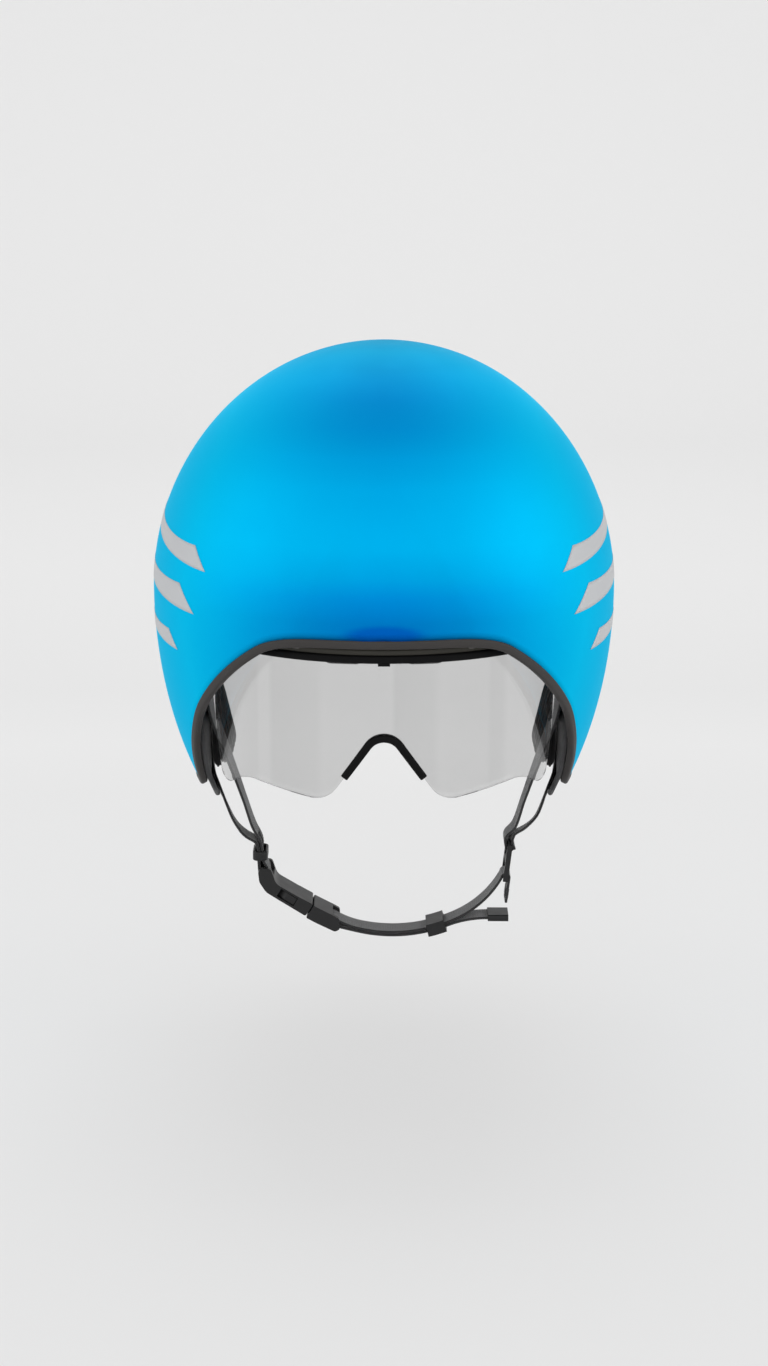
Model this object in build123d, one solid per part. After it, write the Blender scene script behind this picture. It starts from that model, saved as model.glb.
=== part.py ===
from build123d import *
import math
import os
from functools import lru_cache

# Aero time trial helmet, millimetres.
# The origin is the centre of the head opening on the headband plane, +Z up, the face towards -Y,
# and +X towards the viewer's right when the helmet is seen from the front.

# Overall form of the shell
shell_half_width = 112.5
brow_reach = 115.0
tail_reach = 215.0
crown_height = 117.5
cheek_depth = 164.0
tail_cut = 190.0
shell_wall = 2.5
fit_gap = 0.3
overrun = 30.0

# Lower edge of the shell: places as shares of the reach before or behind and of the cheek's depth
edge_shares = [
    (-0.896, -0.0427),
    (-0.539, -0.296),
    (-0.209, -0.567),
    (0.0, -0.567),
    (0.209, -0.354),
    (0.512, -0.293),
]
tail_edge_share = -0.061
brow_edge_radius = 20.0
cheek_edge_radius = 150.0
flap_front_radius = 12.0
flap_rear_radius = 14.0
nape_edge_radius = 50.0
collar_edge_radius = 60.0
tail_edge_radius = 40.0

# Rubber trim on the shell's lower edge
trim_lap = 2.0
trim_width = 3.75
trim_proud = 0.6

# Tail vent
vent_width = 60.0
vent_height = 28.0
vent_middle = 20.0
vent_corner = 8.0
vent_depth = 16.0
vent_wall = 1.8
vent_flange = 3.0
vent_flange_thick = 1.5
louvre_count = 3
louvre_thick = 1.6
louvre_tilt = 20.0

# Foam liner and the hollow for the head
foam_end = 150.0
foam_front = 43.0
foam_side_bottom = 44.0
foam_brow_bottom = 3.0
foam_nape_bottom = 5.0
foam_nape_start = 85.0
foam_side_thick = 24.5
foam_brow_thick = 19.0
foam_crown_thick = 25.5
head_half_width = shell_half_width - foam_side_thick
head_front = brow_reach - foam_brow_thick
head_rear = 104.0
head_crown = crown_height - foam_crown_thick
channel_width = 11.0
channel_depth = 8.0
channel_inner_place = 21.0
channel_outer_place = 47.0
channel_bottom = 12.0
channel_front = 84.0
duct_height = 14.0

# Pads inside the liner
pad_thick = 5.0
pad_corner = 10.0
brow_pad_height = 25.0
brow_pad_end = 44.0
crown_pad_width = 30.0
crown_pad_front = 52.0
crown_pad_rear = 46.0
side_pad_front = 22.0
side_pad_rear = 50.0
side_pad_bottom = 30.0
side_pad_top = 62.0

# Ear linings and ear pads
lining_set_out = 1.0
lining_lean_in = 3.5
lining_front_shares = [(1.0, 0.66), (0.5, 0.955), (0.33, 1.0)]
lining_rear_shares = [(0.05, 1.0), (1.0, 0.72)]
lining_inner_top = head_half_width + lining_set_out
lining_inner_bottom = head_half_width - lining_lean_in
lining_bottom = 103.0
lining_front = 43.0
lining_rear = 36.0
lining_bend = 80.0
lining_corner = 8.0
ear_pad_slot = 0.7
ear_pad_face = lining_inner_bottom - ear_pad_slot
ear_pad_root_bottom = 57.0
ear_pad_top = 46.0
ear_pad_bottom = 87.0
ear_pad_top_thick = 6.0
ear_pad_bottom_thick = 15.0
ear_pad_slope_share = 0.94
ear_pad_ribs = 5
ear_pad_inner_top = head_half_width - ear_pad_top_thick
ear_pad_inner_bottom = head_half_width - ear_pad_bottom_thick
ear_pad_front = 27.0
ear_pad_rear = 26.0
ear_pad_corner = 3.0

# Visor lens, a thin band of an ellipsoid
lens_side_gap = 19.5
lens_brow_gap = 9.0
lens_half_width = shell_half_width - lens_side_gap
lens_reach = brow_reach - lens_brow_gap
lens_tall = 260.0
lens_thick = 1.8
lens_end = 47.0
lens_top = 12.3
lens_drop = 88.6
lens_corner = 12.0
lens_shares = [
    (-0.602, -lens_top / lens_drop),
    (-0.774, -115 / 443),
    (-0.860, -180 / 443),
    (-0.898, -230 / 443),
    (-0.898, -350 / 443),
    (-0.812, -1.0),
    (-0.710, -401 / 443),
    (-0.290, -433 / 443),
    (0.0, -239.5 / 443),
]
lens_corner_shares = [1 / 2, 1, 5 / 6, 2 / 3, 1, 1 / 4, 1, 13 / 12, 3 / 4]
brow_seal_bottom = 18.0
brow_seal_front = 1.2
brow_seal_back = 1.8
brow_seal_half_width = 55.0
seal_tab_width = 7.0
seal_tab_drop = 1.6
nose_bead_width = 3.6
nose_bead_proud = 1.4
nose_bead_bottom = 74.0
nose_bead_sections = 16
nose_corner = 8
visor_seat_front = 2.2
visor_seat_back = 4.2
magnet_radius = 2.2
magnet_thick = 1.4
magnet_place = 40.0

# Webbing
web_width = 15.0
web_thick = 1.2
web_gap = 0.3
strap_plane = -30.0
strap_spread = 36.0
gather_width = 11.25
gather_height = 16.4
front_anchor_gap = 0.3125
rear_anchor_gap = 1.0
anchor_radius = 5.0

# Divider sleeves where the legs of a side strap meet
divider_tall = 5.5
divider_wall = 1.2

# Side-release buckle
buckle_width = 21.0
buckle_span = 45.0
buckle_fall = 41.0
buckle_round = 8.0
hollow_wall_share = 1.25
pocket_gap_share = 1.5
buckle_lean = 32.0
buckle_wall = 1.3
buckle_bar_radius = 1.5
buckle_hollow_half = 2.2
buckle_hollow_length = 19.0
prong_arm_inner = 5.6
prong_arm_width = 2.2
prong_thick = 3.6
prong_root = 2.0
prong_barb = 8.0
prong_tip = 17.0
prong_inset = 0.4
prong_bevel = 3.5
plug_tongue_width = 4.0
plug_tongue_length = 12.0
plug_tongue_thick = 3.0
plug_bar_radius = 1.1

# Chin strap, its keeper and its sewn end
chin_radius = 73.6
chin_centre_x = 4.2
chin_centre_share = -47 / 82
chin_centre_z = chin_centre_share * cheek_depth
keeper_length = 9.0
keeper_wall = 1.4
keeper_angle = 16.8
leave_lead = 4.5
plug_bar_angle = -23.5
spread_angle = -13.0
rise_angle = 26.0
left_bar_angle = -54.65944
left_bar_drop = 2.98800
link_angle = 50.47785
link_rise = 2.25858
tail_angle = 35.36280
tail_drop = 6.90730
split_angle = -33.75277
split_rise = 0.35623
end_tab_length = 10.0
end_tab_thick = 3.2

# Two-slot link on the right
link_tall = 15.91544
link_width = 20.0
link_bar_radius = 1.2
link_lean = 7.10573
fold_lean = 7.2
link_tail_length = 12.5

# Fit system: a ring that turns about the temple pins and is drawn in by a dial
fit_tilt = 18.0
temple_y = -10.0
ring_side_gap = 5.5
ring_radius = head_half_width - ring_side_gap
ring_centre = 24.0
band_thick = 1.8
band_height = 10.0
band_gap = 0.3
rack_height = 3.75
gear_module = 1.0
pressure_angle = 20.0
tooth_foot_share = 0.9
tooth_flank_share = 0.6
pivot_share = 0.6
band_run_out = 13.3
band_step_lead = 1.5
pinion_teeth = 12
tooth_pitch_width = 1.15
tooth_addendum = 0.85
tooth_dedendum = 1.25
pinion_thick = 1.6
pinion_shaft_radius = 3.5
bore_gap = 0.05
rack_overlap = 14.0
housing_half_length = 25.0
housing_wall = 1.5
cradle_thick = 1.6
cradle_half_angle = 31.0
cradle_lobe_shares = [
    (-1.0, 0.25),
    (-0.72, 1.0),
    (-0.30, 1.0),
    (0.0, 0.62),
    (0.30, 1.0),
    (0.72, 1.0),
    (1.0, 0.25),
]
window_side_share = 0.52
window_down_share = 0.72
window_half_share = 0.16
window_tall_share = 0.34
window_corner_share = 0.12
cradle_pad_inner_share = 0.22
cradle_pad_outer_share = 0.92
cradle_pad_down_share = 0.45
cradle_drop = 26.0
cradle_rise = 12.0
cradle_pad_thick = 2.0
cradle_corner = 6.0
knob_radius = 13.0
knob_thick = 9.0
knob_scallops = 18
knob_edge_share = 1.5
scallop_set_share = 0.4
scallop_radius = 1.4
ratchet_radius = 10.6
ratchet_depth = 0.6
ratchet_teeth = 24
ratchet_recess = 3.2
detent_width = 1.0
detent_inner = 7.6
detent_start = -20.0
detent_end = 200.0
screw_radius = 1.5
housing_boss_radius = 11.5
screw_head_radius = 3.6
screw_head_thick = 1.6
screw_length = 7.0
temple_pin_radius = 1.95
temple_disc_radius = 7.0
temple_disc_thick = 2.0
clip_height = 14.0
clip_half_angle = 6.5
clip_gap_share = 2.5
clip_boss_share = 4.2
clip_bore_share = 2.2
clip_cut_share = 3.0
clip_boss_radius = 4.6
stop_tab_height = 14.0
strip_width = 14.0
strip_thick = 1.5
strip_radius = ring_centre + ring_radius + band_thick / 2 + band_gap + housing_wall
strip_top_angle = 50.0
strip_foot_lap = 3.0
stud_angle = 46.0
stud_radius = 1.5
stud_length = 2.4
track_thick = 3.5
track_width = 17.0
track_start = 17.0
track_end = 46.0
track_slot_play = 0.25
track_notches = 4
track_pocket_lead = 2.0
track_pocket_trail = 4.0
slot_lead = 7.0
slot_trail = 10.0
notch_lead = 5.0
notch_step = 4.5

os.makedirs("parts", exist_ok=True)


def write(name, *solids):
    """Write one node; several solids stay separate inside it."""
    kept = []
    for item in solids:
        kept.extend(item.solids())
    export_step(Compound(children=kept), f"parts/{name}.step")


def mirrored(item):
    return item.mirror(Plane.YZ)


def mirrored_place(place):
    return Vector(-place.X, place.Y, place.Z)


# Ellipsoids with a different reach to each side

unit_disc_edges = [
    Edge.make_line((-1, 0, 0), (1, 0, 0)),
    Edge.make_three_point_arc((1, 0, 0), (0, 1, 0), (-1, 0, 0)),
]
unit_quarter = revolve(Face(Wire(unit_disc_edges)), Axis.X, 90)


def rounded_form(half_width, front, rear, top, bottom):
    """Closed solid made of four quarter ellipsoids that meet on the axes' planes."""
    skins = []
    for turn, reach, height in ((0, rear, top), (90, front, top), (180, front, bottom), (270, rear, bottom)):
        quarter = scale(Rot(turn, 0, 0) * unit_quarter, by=(half_width, reach, height), about=(0, 0, 0))
        skins.append(max(quarter.faces(), key=lambda face: face.area))
    return Solid(Shell(skins))


@lru_cache
def egg(inset):
    """The shell's outer form, drawn in by an even inset."""
    return rounded_form(
        shell_half_width - inset,
        brow_reach - inset,
        tail_reach - inset,
        crown_height - inset,
        cheek_depth - inset,
    )


@lru_cache
def head_form(inset):
    return rounded_form(
        head_half_width - inset,
        head_front - inset,
        head_rear - inset,
        head_crown - inset,
        head_crown - inset,
    )


@lru_cache
def lens_form(inset):
    return rounded_form(
        lens_half_width - inset, lens_reach - inset, lens_reach - inset, lens_tall - inset, lens_tall - inset
    )


def block(x_low, x_high, y_low, y_high, z_low, z_high):
    size = (x_high - x_low, y_high - y_low, z_high - z_low)
    middle = ((x_low + x_high) / 2, (y_low + y_high) / 2, (z_low + z_high) / 2)
    return Pos(*middle) * Box(*size)


def closed_face(corners, radii=None):
    """Face inside a closed outline whose corners may be rounded."""
    if radii is None:
        return make_face(Polyline(*corners, close=True))
    return make_face(FilletPolyline(*corners, radius=radii, close=True))


def across(corners, radii=None, half=None):
    """Prism along X over an outline in Y and Z."""
    points = [(0, y, z) for y, z in corners]
    reach = half if half is not None else shell_half_width + overrun
    return extrude(closed_face(points, radii), amount=reach, dir=(1, 0, 0), both=True)


def frontal(corners, y_low, y_high, radii=None):
    """Prism along Y over an outline in X and Z."""
    points = [(x, y_low, z) for x, z in corners]
    return extrude(closed_face(points, radii), amount=y_high - y_low, dir=(0, 1, 0))


# Lower edge of the shell seen from the side

def shell_edge_face():
    far = tail_reach + overrun
    top = crown_height + overrun
    tail_z = tail_edge_share * cheek_depth
    bends = []
    for y_share, z_share in edge_shares:
        reach = tail_reach if y_share > 0 else brow_reach
        bends.append((0, y_share * reach, z_share * cheek_depth))
    tail = [(0, tail_cut, tail_z), (0, far, tail_z), (0, far, top), (0, -far, top)]
    corners = [(0, -far, bends[0][2])] + bends + tail
    radii = [
        0,
        brow_edge_radius,
        cheek_edge_radius,
        flap_front_radius,
        flap_rear_radius,
        nape_edge_radius,
        collar_edge_radius,
        tail_edge_radius,
        0,
        0,
        0,
    ]
    return closed_face(corners, radii)


edge_face = shell_edge_face()


@lru_cache
def edge_region(grow):
    """Everything above the shell's lower edge, with the edge moved out by a distance."""
    face = edge_face if grow == 0 else offset(edge_face, amount=grow, kind=Kind.INTERSECTION)
    return extrude(face, amount=shell_half_width + overrun, dir=(1, 0, 0), both=True)


def ahead_of(y):
    """Block that holds all that lies in front of a plane across Y."""
    reach = tail_reach + overrun
    return block(-reach, reach, -reach, y, -reach, reach)


def make_shell():
    outer = egg(0) & ahead_of(tail_cut)
    hollow = egg(shell_wall) & ahead_of(tail_cut - shell_wall)
    shell = (outer - hollow) & edge_region(trim_lap)
    return shell - vent_port(0)


def make_trim(shell_part):
    outer = egg(-trim_proud) & ahead_of(tail_cut + trim_proud)
    hollow = egg(shell_wall + trim_proud) & ahead_of(tail_cut - shell_wall - trim_proud)
    ring = (outer - hollow) & edge_region(trim_width)
    return ring - edge_region(0) - shell_part


def vent_port(inset):
    outline = RectangleRounded(vent_width - 2 * inset, vent_height - 2 * inset, vent_corner - inset)
    place = Plane((0, tail_cut + overrun, vent_middle), x_dir=(1, 0, 0), z_dir=(0, 1, 0))
    return extrude(place * outline, amount=-2 * overrun)


def make_vent():
    """Moulded duct that fills the port, with tilted louvres and a flange inside the rear wall."""
    back = tail_cut
    front = tail_cut - vent_depth
    duct = vent_port(fit_gap) - vent_port(fit_gap + vent_wall)
    duct = duct & block(-vent_width, vent_width, front, back, -vent_width, vent_width)
    flange = vent_port(-vent_flange) - vent_port(fit_gap + vent_wall)
    flange_back = tail_cut - shell_wall - fit_gap
    flange_slab = block(
        -vent_width, vent_width, flange_back - vent_flange_thick, flange_back, -vent_width, vent_width
    )
    vent = duct + (flange & flange_slab)
    step = vent_height / (louvre_count + 1)
    inside = vent_port(fit_gap + vent_wall / 2)
    for index in range(louvre_count):
        z = vent_middle - vent_height / 2 + step * (index + 1)
        louvre = Pos(0, (front + back) / 2, z) * Rot(louvre_tilt, 0, 0)
        louvre = louvre * Box(vent_width, vent_depth - 2 * vent_wall, louvre_thick)
        vent = vent + (louvre & inside)
    rib_half = louvre_thick / 2
    rib = block(-rib_half, rib_half, front + vent_wall, back - vent_wall, -vent_width, vent_width)
    return vent + (rib & inside)


# Foam liner

def ring_sector(radius_in, radius_out, start, end, height):
    """Part of a flat ring between two angles, centred on the XY plane and extruded along Z."""

    def polar(radius, angle):
        turn = math.radians(angle)
        return (radius * math.cos(turn), radius * math.sin(turn), 0)

    middle = (start + end) / 2
    outline = [
        Edge.make_three_point_arc(
            polar(radius_out, start), polar(radius_out, middle), polar(radius_out, end)
        ),
        Edge.make_line(polar(radius_out, end), polar(radius_in, end)),
        Edge.make_three_point_arc(polar(radius_in, end), polar(radius_in, middle), polar(radius_in, start)),
        Edge.make_line(polar(radius_in, start), polar(radius_out, start)),
    ]
    return extrude(Face(Wire(outline)), amount=height / 2, dir=(0, 0, 1), both=True)


temple_frame = Pos(0, temple_y, 0) * Plane((0, 0, 0), x_dir=(0, 1, 0), z_dir=(1, 0, 0)).location


def turned_about_temple(radius_in, radius_out, width, start, end):
    """Strip of a drum about the temple axis, between two angles above the horizon behind it."""
    return temple_frame * ring_sector(radius_in, radius_out, start, end, width)


def make_foam():
    sides = [
        (-brow_reach, -foam_brow_bottom),
        (-foam_front, -foam_brow_bottom),
        (-foam_front, -foam_side_bottom),
        (foam_nape_start, -foam_side_bottom),
        (foam_nape_start, -foam_nape_bottom),
        (foam_end, -foam_nape_bottom),
        (foam_end, crown_height),
        (-brow_reach, crown_height),
    ]
    foam = egg(shell_wall + fit_gap) & across(sides)
    foam = foam - head_form(0) - head_well()
    grown = head_form(-channel_depth)
    for place in (channel_inner_place, channel_outer_place):
        for side in (-1, 1):
            low = side * place - channel_width / 2
            high = side * place + channel_width / 2
            foam = foam - (grown & block(low, high, -channel_front, head_rear, channel_bottom, crown_height))
            roof = channel_bottom + duct_height
            duct_start = head_rear - 2 * channel_width
            foam = foam - block(low, high, duct_start, foam_end + overrun, channel_bottom, roof)
    pocket = turned_about_temple(
        ring_radius,
        track_outer() + fit_gap,
        track_width + 2 * fit_gap,
        track_start - track_pocket_lead,
        track_end + track_pocket_trail,
    )
    foam = foam - pocket
    for side in (-1, 1):
        recess = Pos(side * head_half_width, temple_y, 0) * Rot(0, 90, 0)
        depth = 2 * (temple_disc_thick + fit_gap)
        foam = foam - recess * Cylinder(temple_disc_radius + fit_gap, depth)
    return foam


def head_well():
    """The head opening below the headband plane, with straight walls."""
    front_half = scale(Face(Wire(unit_disc_edges)), by=(head_half_width, head_rear, 1), about=(0, 0, 0))
    back_half = scale(Face(Wire(unit_disc_edges)), by=(head_half_width, head_front, 1), about=(0, 0, 0))
    depth = foam_side_bottom + overrun
    return Part() + [
        extrude(front_half, amount=depth, dir=(0, 0, -1)),
        extrude(Rot(0, 0, 180) * back_half, amount=depth, dir=(0, 0, -1)),
    ]


def track_outer():
    return strip_radius + fit_gap + track_thick


def make_height_track():
    track = turned_about_temple(strip_radius + fit_gap, track_outer(), track_width, track_start, track_end)
    slot_width = 2 * (stud_radius + track_slot_play)
    world_stud = stud_angle - fit_tilt
    slot_start = world_stud - slot_lead
    slot_end = world_stud + slot_trail
    slot = turned_about_temple(ring_radius, track_outer() + overrun, slot_width, slot_start, slot_end)
    track = track - slot
    for index in range(track_notches):
        angle = world_stud - notch_lead + notch_step * index
        notch = Rot(0, 90, 0) * Cylinder(stud_radius + 2 * track_slot_play, 4 * track_thick)
        notch = Pos(strip_radius + track_thick, 0, 0) * notch
        track = track - temple_frame * (Rot(0, 0, angle) * notch)
    return track


# Pads on the liner

def make_pads():
    layer = head_form(fit_gap) - head_form(fit_gap + pad_thick)
    lift = fit_gap + foam_brow_bottom / 2
    brow = layer & block(
        -shell_half_width, shell_half_width, -brow_reach, -brow_pad_end, lift, lift + brow_pad_height
    )
    crown_place = Plane((0, (crown_pad_rear - crown_pad_front) / 2, 0))
    crown_outline = RectangleRounded(crown_pad_width, crown_pad_front + crown_pad_rear, pad_corner)
    crown = layer & extrude(crown_place * crown_outline, amount=crown_height)
    side_corners = [
        (-side_pad_front, side_pad_bottom),
        (side_pad_rear, side_pad_bottom),
        (side_pad_rear, side_pad_top),
        (-side_pad_front, side_pad_top),
    ]
    both_sides = layer & across(side_corners, [pad_corner] * 4)
    left = both_sides & block(-shell_half_width, 0, -brow_reach, tail_reach, 0, crown_height)
    return brow, crown, left


# Ear linings and ear pads

def make_ear_lining():
    top = -foam_side_bottom - fit_gap
    front = [(-y_share * lining_front, -z_share * lining_bottom) for y_share, z_share in lining_front_shares]
    rear = [(y_share * lining_rear, -z_share * lining_bottom) for y_share, z_share in lining_rear_shares]
    outline = [(-lining_front, top)] + front + rear + [(lining_rear, top)]
    radii = [0, lining_corner, lining_corner, lining_corner / 2, lining_corner, lining_corner, 0]
    lining = egg(shell_wall + trim_proud + fit_gap) & across(outline, radii)
    outside = -shell_half_width
    inner = [
        (outside, -foam_side_bottom + overrun),
        (-lining_inner_top, -foam_side_bottom + overrun),
        (-lining_inner_top, -lining_bend),
        (-lining_inner_bottom, -lining_bottom),
        (-lining_inner_bottom, -lining_bottom - overrun),
        (outside, -lining_bottom - overrun),
    ]
    return lining & frontal(inner, -brow_reach, tail_reach)


def make_ear_pad():
    """Ribbed pad with a thick root against the lining and a slot behind it for the rear strap."""
    wall = -lining_inner_top + fit_gap
    corners = [
        (wall, -ear_pad_top),
        (-ear_pad_inner_top, -ear_pad_top),
        (-ear_pad_inner_bottom, -ear_pad_slope_share * ear_pad_bottom),
        (-ear_pad_inner_bottom - ear_pad_corner, -ear_pad_bottom),
        (-ear_pad_face, -ear_pad_bottom),
        (-ear_pad_face, -ear_pad_root_bottom),
        (wall, -ear_pad_root_bottom),
    ]
    radii = [0, ear_pad_corner, ear_pad_corner / 2, ear_pad_corner / 2, ear_pad_corner / 2, 0, 0]
    pad = frontal(corners, -ear_pad_front, ear_pad_rear, radii)
    step = (ear_pad_front + ear_pad_rear) / ear_pad_ribs
    slope_x = -ear_pad_inner_bottom + ear_pad_inner_top
    slope_z = -ear_pad_slope_share * ear_pad_bottom + ear_pad_top
    tilt = math.degrees(math.atan2(slope_x, -slope_z))
    middle_x = -(ear_pad_inner_top + ear_pad_inner_bottom) / 2
    middle_z = -(ear_pad_top + ear_pad_slope_share * ear_pad_bottom) / 2
    for index in range(ear_pad_ribs - 1):
        y = -ear_pad_front + step * (index + 1)
        groove = Pos(middle_x, y, middle_z) * Rot(0, -tilt, 0)
        groove = groove * Cylinder(ear_pad_corner / 2, ear_pad_bottom)
        pad = pad - groove
    return pad


# Visor

def lens_outline():
    """Front outline of the lens, from the lower left corner round to the lower right one."""
    left = [(x_share * lens_half_width, z_share * lens_drop) for x_share, z_share in lens_shares]
    right = [(-x, z) for x, z in reversed(left[:-1])]
    left_radii = [share * lens_corner for share in lens_corner_shares]
    radii = left_radii + left_radii[-2::-1]
    return left + right, radii


def make_lens():
    band = lens_form(0) - lens_form(lens_thick)
    corners, radii = lens_outline()
    return band & frontal(corners, -lens_reach - overrun, -lens_end, radii)


def make_brow_seal(lens):
    band = lens_form(-brow_seal_front) - lens_form(lens_thick + brow_seal_back)
    half = brow_seal_half_width
    bar = frontal(
        [(-half, -brow_seal_bottom), (half, -brow_seal_bottom), (half, -lens_top), (-half, -lens_top)],
        -lens_reach - overrun,
        -lens_end,
    )
    tab = frontal(
        [
            (-seal_tab_width / 2, -brow_seal_bottom),
            (-seal_tab_width / 3, -brow_seal_bottom - seal_tab_drop),
            (seal_tab_width / 3, -brow_seal_bottom - seal_tab_drop),
            (seal_tab_width / 2, -brow_seal_bottom),
        ],
        -lens_reach - overrun,
        -lens_end,
    )
    return (band & (bar + tab)) - lens


def make_nose_bead():
    """Channel of soft rubber pressed over the arch of the lens, lofted through sections along the arch."""
    corners, radii = lens_outline()
    peak_x, peak_z = corners[nose_corner]
    foot_x, foot_z = corners[nose_corner - 1]
    start_x = foot_x * (nose_bead_bottom + peak_z) / (peak_z - foot_z)
    arch = FilletPolyline(
        (start_x, -nose_bead_bottom),
        (peak_x, peak_z),
        (-start_x, -nose_bead_bottom),
        radius=radii[nose_corner],
    )
    middle = lens_thick / 2
    half = middle + nose_bead_proud
    slot = middle + web_gap / 2
    lap = nose_bead_width / 2
    ease = nose_bead_proud / 2
    profile = [
        (slot, -lap),
        (half - ease, -lap),
        (half, ease - lap),
        (half, lap - ease),
        (half - ease, lap),
        (ease - half, lap),
        (-half, lap - ease),
        (-half, ease - lap),
        (ease - half, -lap),
        (-slot, -lap),
        (-slot, web_gap / 2),
        (slot, web_gap / 2),
    ]

    def on_lens(share):
        flat = arch @ share
        wide = (flat.X / (lens_half_width - middle)) ** 2
        tall = (flat.Y / (lens_tall - middle)) ** 2
        return Vector(flat.X, -(lens_reach - middle) * math.sqrt(1 - wide - tall), flat.Y)

    sections = []
    step = 1 / nose_bead_sections
    for index in range(nose_bead_sections + 1):
        share = index * step
        place = on_lens(share)
        along = (on_lens(min(share + step / 4, 1)) - on_lens(max(share - step / 4, 0))).normalized()
        normal = Vector(place.X / lens_half_width**2, place.Y / lens_reach**2, place.Z / lens_tall**2)
        normal = (normal - along * normal.dot(along)).normalized()
        away = along.cross(normal)
        points = [place + normal * out + away * down for out, down in profile]
        sections.append(Wire.make_polygon(points, close=True))
    return Solid.make_loft(sections, ruled=True)


def magnet_at(x, z_low):
    reach = lens_reach - lens_thick / 2
    y = -reach * math.sqrt(1 - (x / (lens_half_width - lens_thick / 2)) ** 2)
    return Pos(x, y, z_low + magnet_thick / 2) * Cylinder(magnet_radius, magnet_thick)


def make_visor_seat():
    """Moulded rail under the brow foam that the visor's top edge meets."""
    band = lens_form(-visor_seat_front) - lens_form(lens_thick + visor_seat_back)
    half = brow_seal_half_width
    top = -foam_brow_bottom
    bottom = -lens_top + fit_gap
    return band & frontal(
        [(-half, bottom), (half, bottom), (half, top), (-half, top)], -lens_reach - overrun, -lens_end
    )


# Webbing

def spot(x_share, y, z_share):
    return Vector(x_share * shell_half_width, y, z_share * cheek_depth)


def webbing(points, width_dir, width=None):
    """Flat strap through straight runs; every section is square to the bisector of its runs."""
    half_width = (web_width if width is None else width) / 2
    sections = []
    for index, point in enumerate(points):
        before = points[max(index - 1, 0)]
        after = points[min(index + 1, len(points) - 1)]
        along = (after - before).normalized()
        side = width_dir[index] if isinstance(width_dir, list) else width_dir
        side = (side - along * side.dot(along)).normalized()
        thin = along.cross(side).normalized() * (web_thick / 2)
        wide = side * half_width
        corners = [point + wide + thin, point - wide + thin, point - wide - thin, point + wide - thin]
        sections.append(Wire.make_polygon(corners, close=True))
    return Solid.make_loft(sections, ruled=True)


def leg_places(shares):
    """Places of a strap's leg as shares of the shell's half width, the legs' spread and the cheek's depth."""
    return [spot(x_share, y_share * strap_spread, z_share) for x_share, y_share, z_share in shares]


def gathered_places(bar, shares):
    """Places above a bar, as shares of the width and height in which the two legs come together."""
    places = []
    for x_share, y_share, z_share in shares:
        offset = Vector(x_share * gather_width, y_share * gather_height, z_share * gather_height)
        places.append(bar + offset)
    return places


def chin_point(angle, radius=chin_radius):
    """Point on the chin arc, the angle counted from straight down towards +X."""
    turn = math.radians(angle)
    x = chin_centre_x + radius * math.sin(turn)
    z = chin_centre_z - radius * math.cos(turn)
    return Vector(x, strap_plane, z)


front_leg_shares = [
    (-0.751, -1.0, -0.274),
    (-0.722, -1.0, -0.365),
    (-0.677, -35 / 36, -0.445),
    (-0.634, -34 / 36, -0.527),
    (-0.594, -32 / 36, -0.612),
    (-0.562, -0.850, -0.690),
]
rear_leg_shares = [
    (-0.768, 22 / 36, -0.375),
    (-0.768, 13 / 36, -0.475),
    (-0.749, 2 / 36, -0.576),
    (-0.708, -0.250, -0.632),
    (-0.656, -20 / 36, -0.690),
]
left_front_shares = [(-0.15, 0, 1.023), (-0.09, 0, 0.533), (0.14, 0, 0.223)]
left_rear_shares = [(-0.76, 5 / 41, 1.173), (-0.32, 0, 0.953), (-0.26, 0, 0.533), (-0.23, 0, 0.223)]
right_front_shares = [(0.17, 0, 0.281)]
right_rear_shares = [(-0.17, 0, 0.281)]
left_bar = chin_point(left_bar_angle, chin_radius + left_bar_drop)
link_bottom_bar = chin_point(link_angle, chin_radius - link_rise)
link_rise_line = Vector(math.sin(math.radians(link_lean)), 0, math.cos(math.radians(link_lean)))
link_top_bar = link_bottom_bar + link_rise_line * link_tall
front_leg_start = leg_places(front_leg_shares)
rear_leg_start = leg_places(rear_leg_shares)
rear_leg_width_shares = [
    (0, 0.8, -0.5),
    (0, 0.8, -0.6),
    (0.05, 0.75, -0.65),
    (0.1, 0.8, -0.6),
    (0.1, 0.9, -0.4),
    (0, 1, -0.15),
]
rear_leg_widths = [Vector(*shares) for shares in rear_leg_width_shares]


def loop_radius(bar_radius):
    """Middle radius of webbing that turns round a bar."""
    return bar_radius + web_gap / 3 + web_thick / 2


def make_side_strap(bar, bar_radius, front_end, rear_end):
    """Left front and rear legs; they meet, run down as a pair and turn round a bar."""
    half = loop_radius(bar_radius)
    inner_foot = bar + Vector(half, 0, 0)
    outer_foot = bar - Vector(half, 0, 0)
    front = webbing(front_leg_start + front_end + [inner_foot], Vector(0, 1, 0))
    rear_points = rear_leg_start + rear_end + [outer_foot]
    level = [Vector(0, 1, 0)] * (len(rear_points) - len(rear_leg_widths))
    rear = webbing(rear_points, rear_leg_widths + level)
    return front + rear + half_loop(bar, half, 180, 360)


def half_loop(middle, radius, start, end):
    """Half turn of webbing about a bar that lies along Y."""
    turn = ring_sector(radius - web_thick / 2, radius + web_thick / 2, start, end, web_width)
    return Pos(middle) * Rot(90, 0, 0) * turn


left_front_end = gathered_places(left_bar, left_front_shares)
left_rear_end = gathered_places(left_bar, left_rear_shares)
right_bar = mirrored_place(link_top_bar)
right_front_end = gathered_places(right_bar, right_front_shares)
right_rear_end = gathered_places(right_bar, right_rear_shares)


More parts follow.
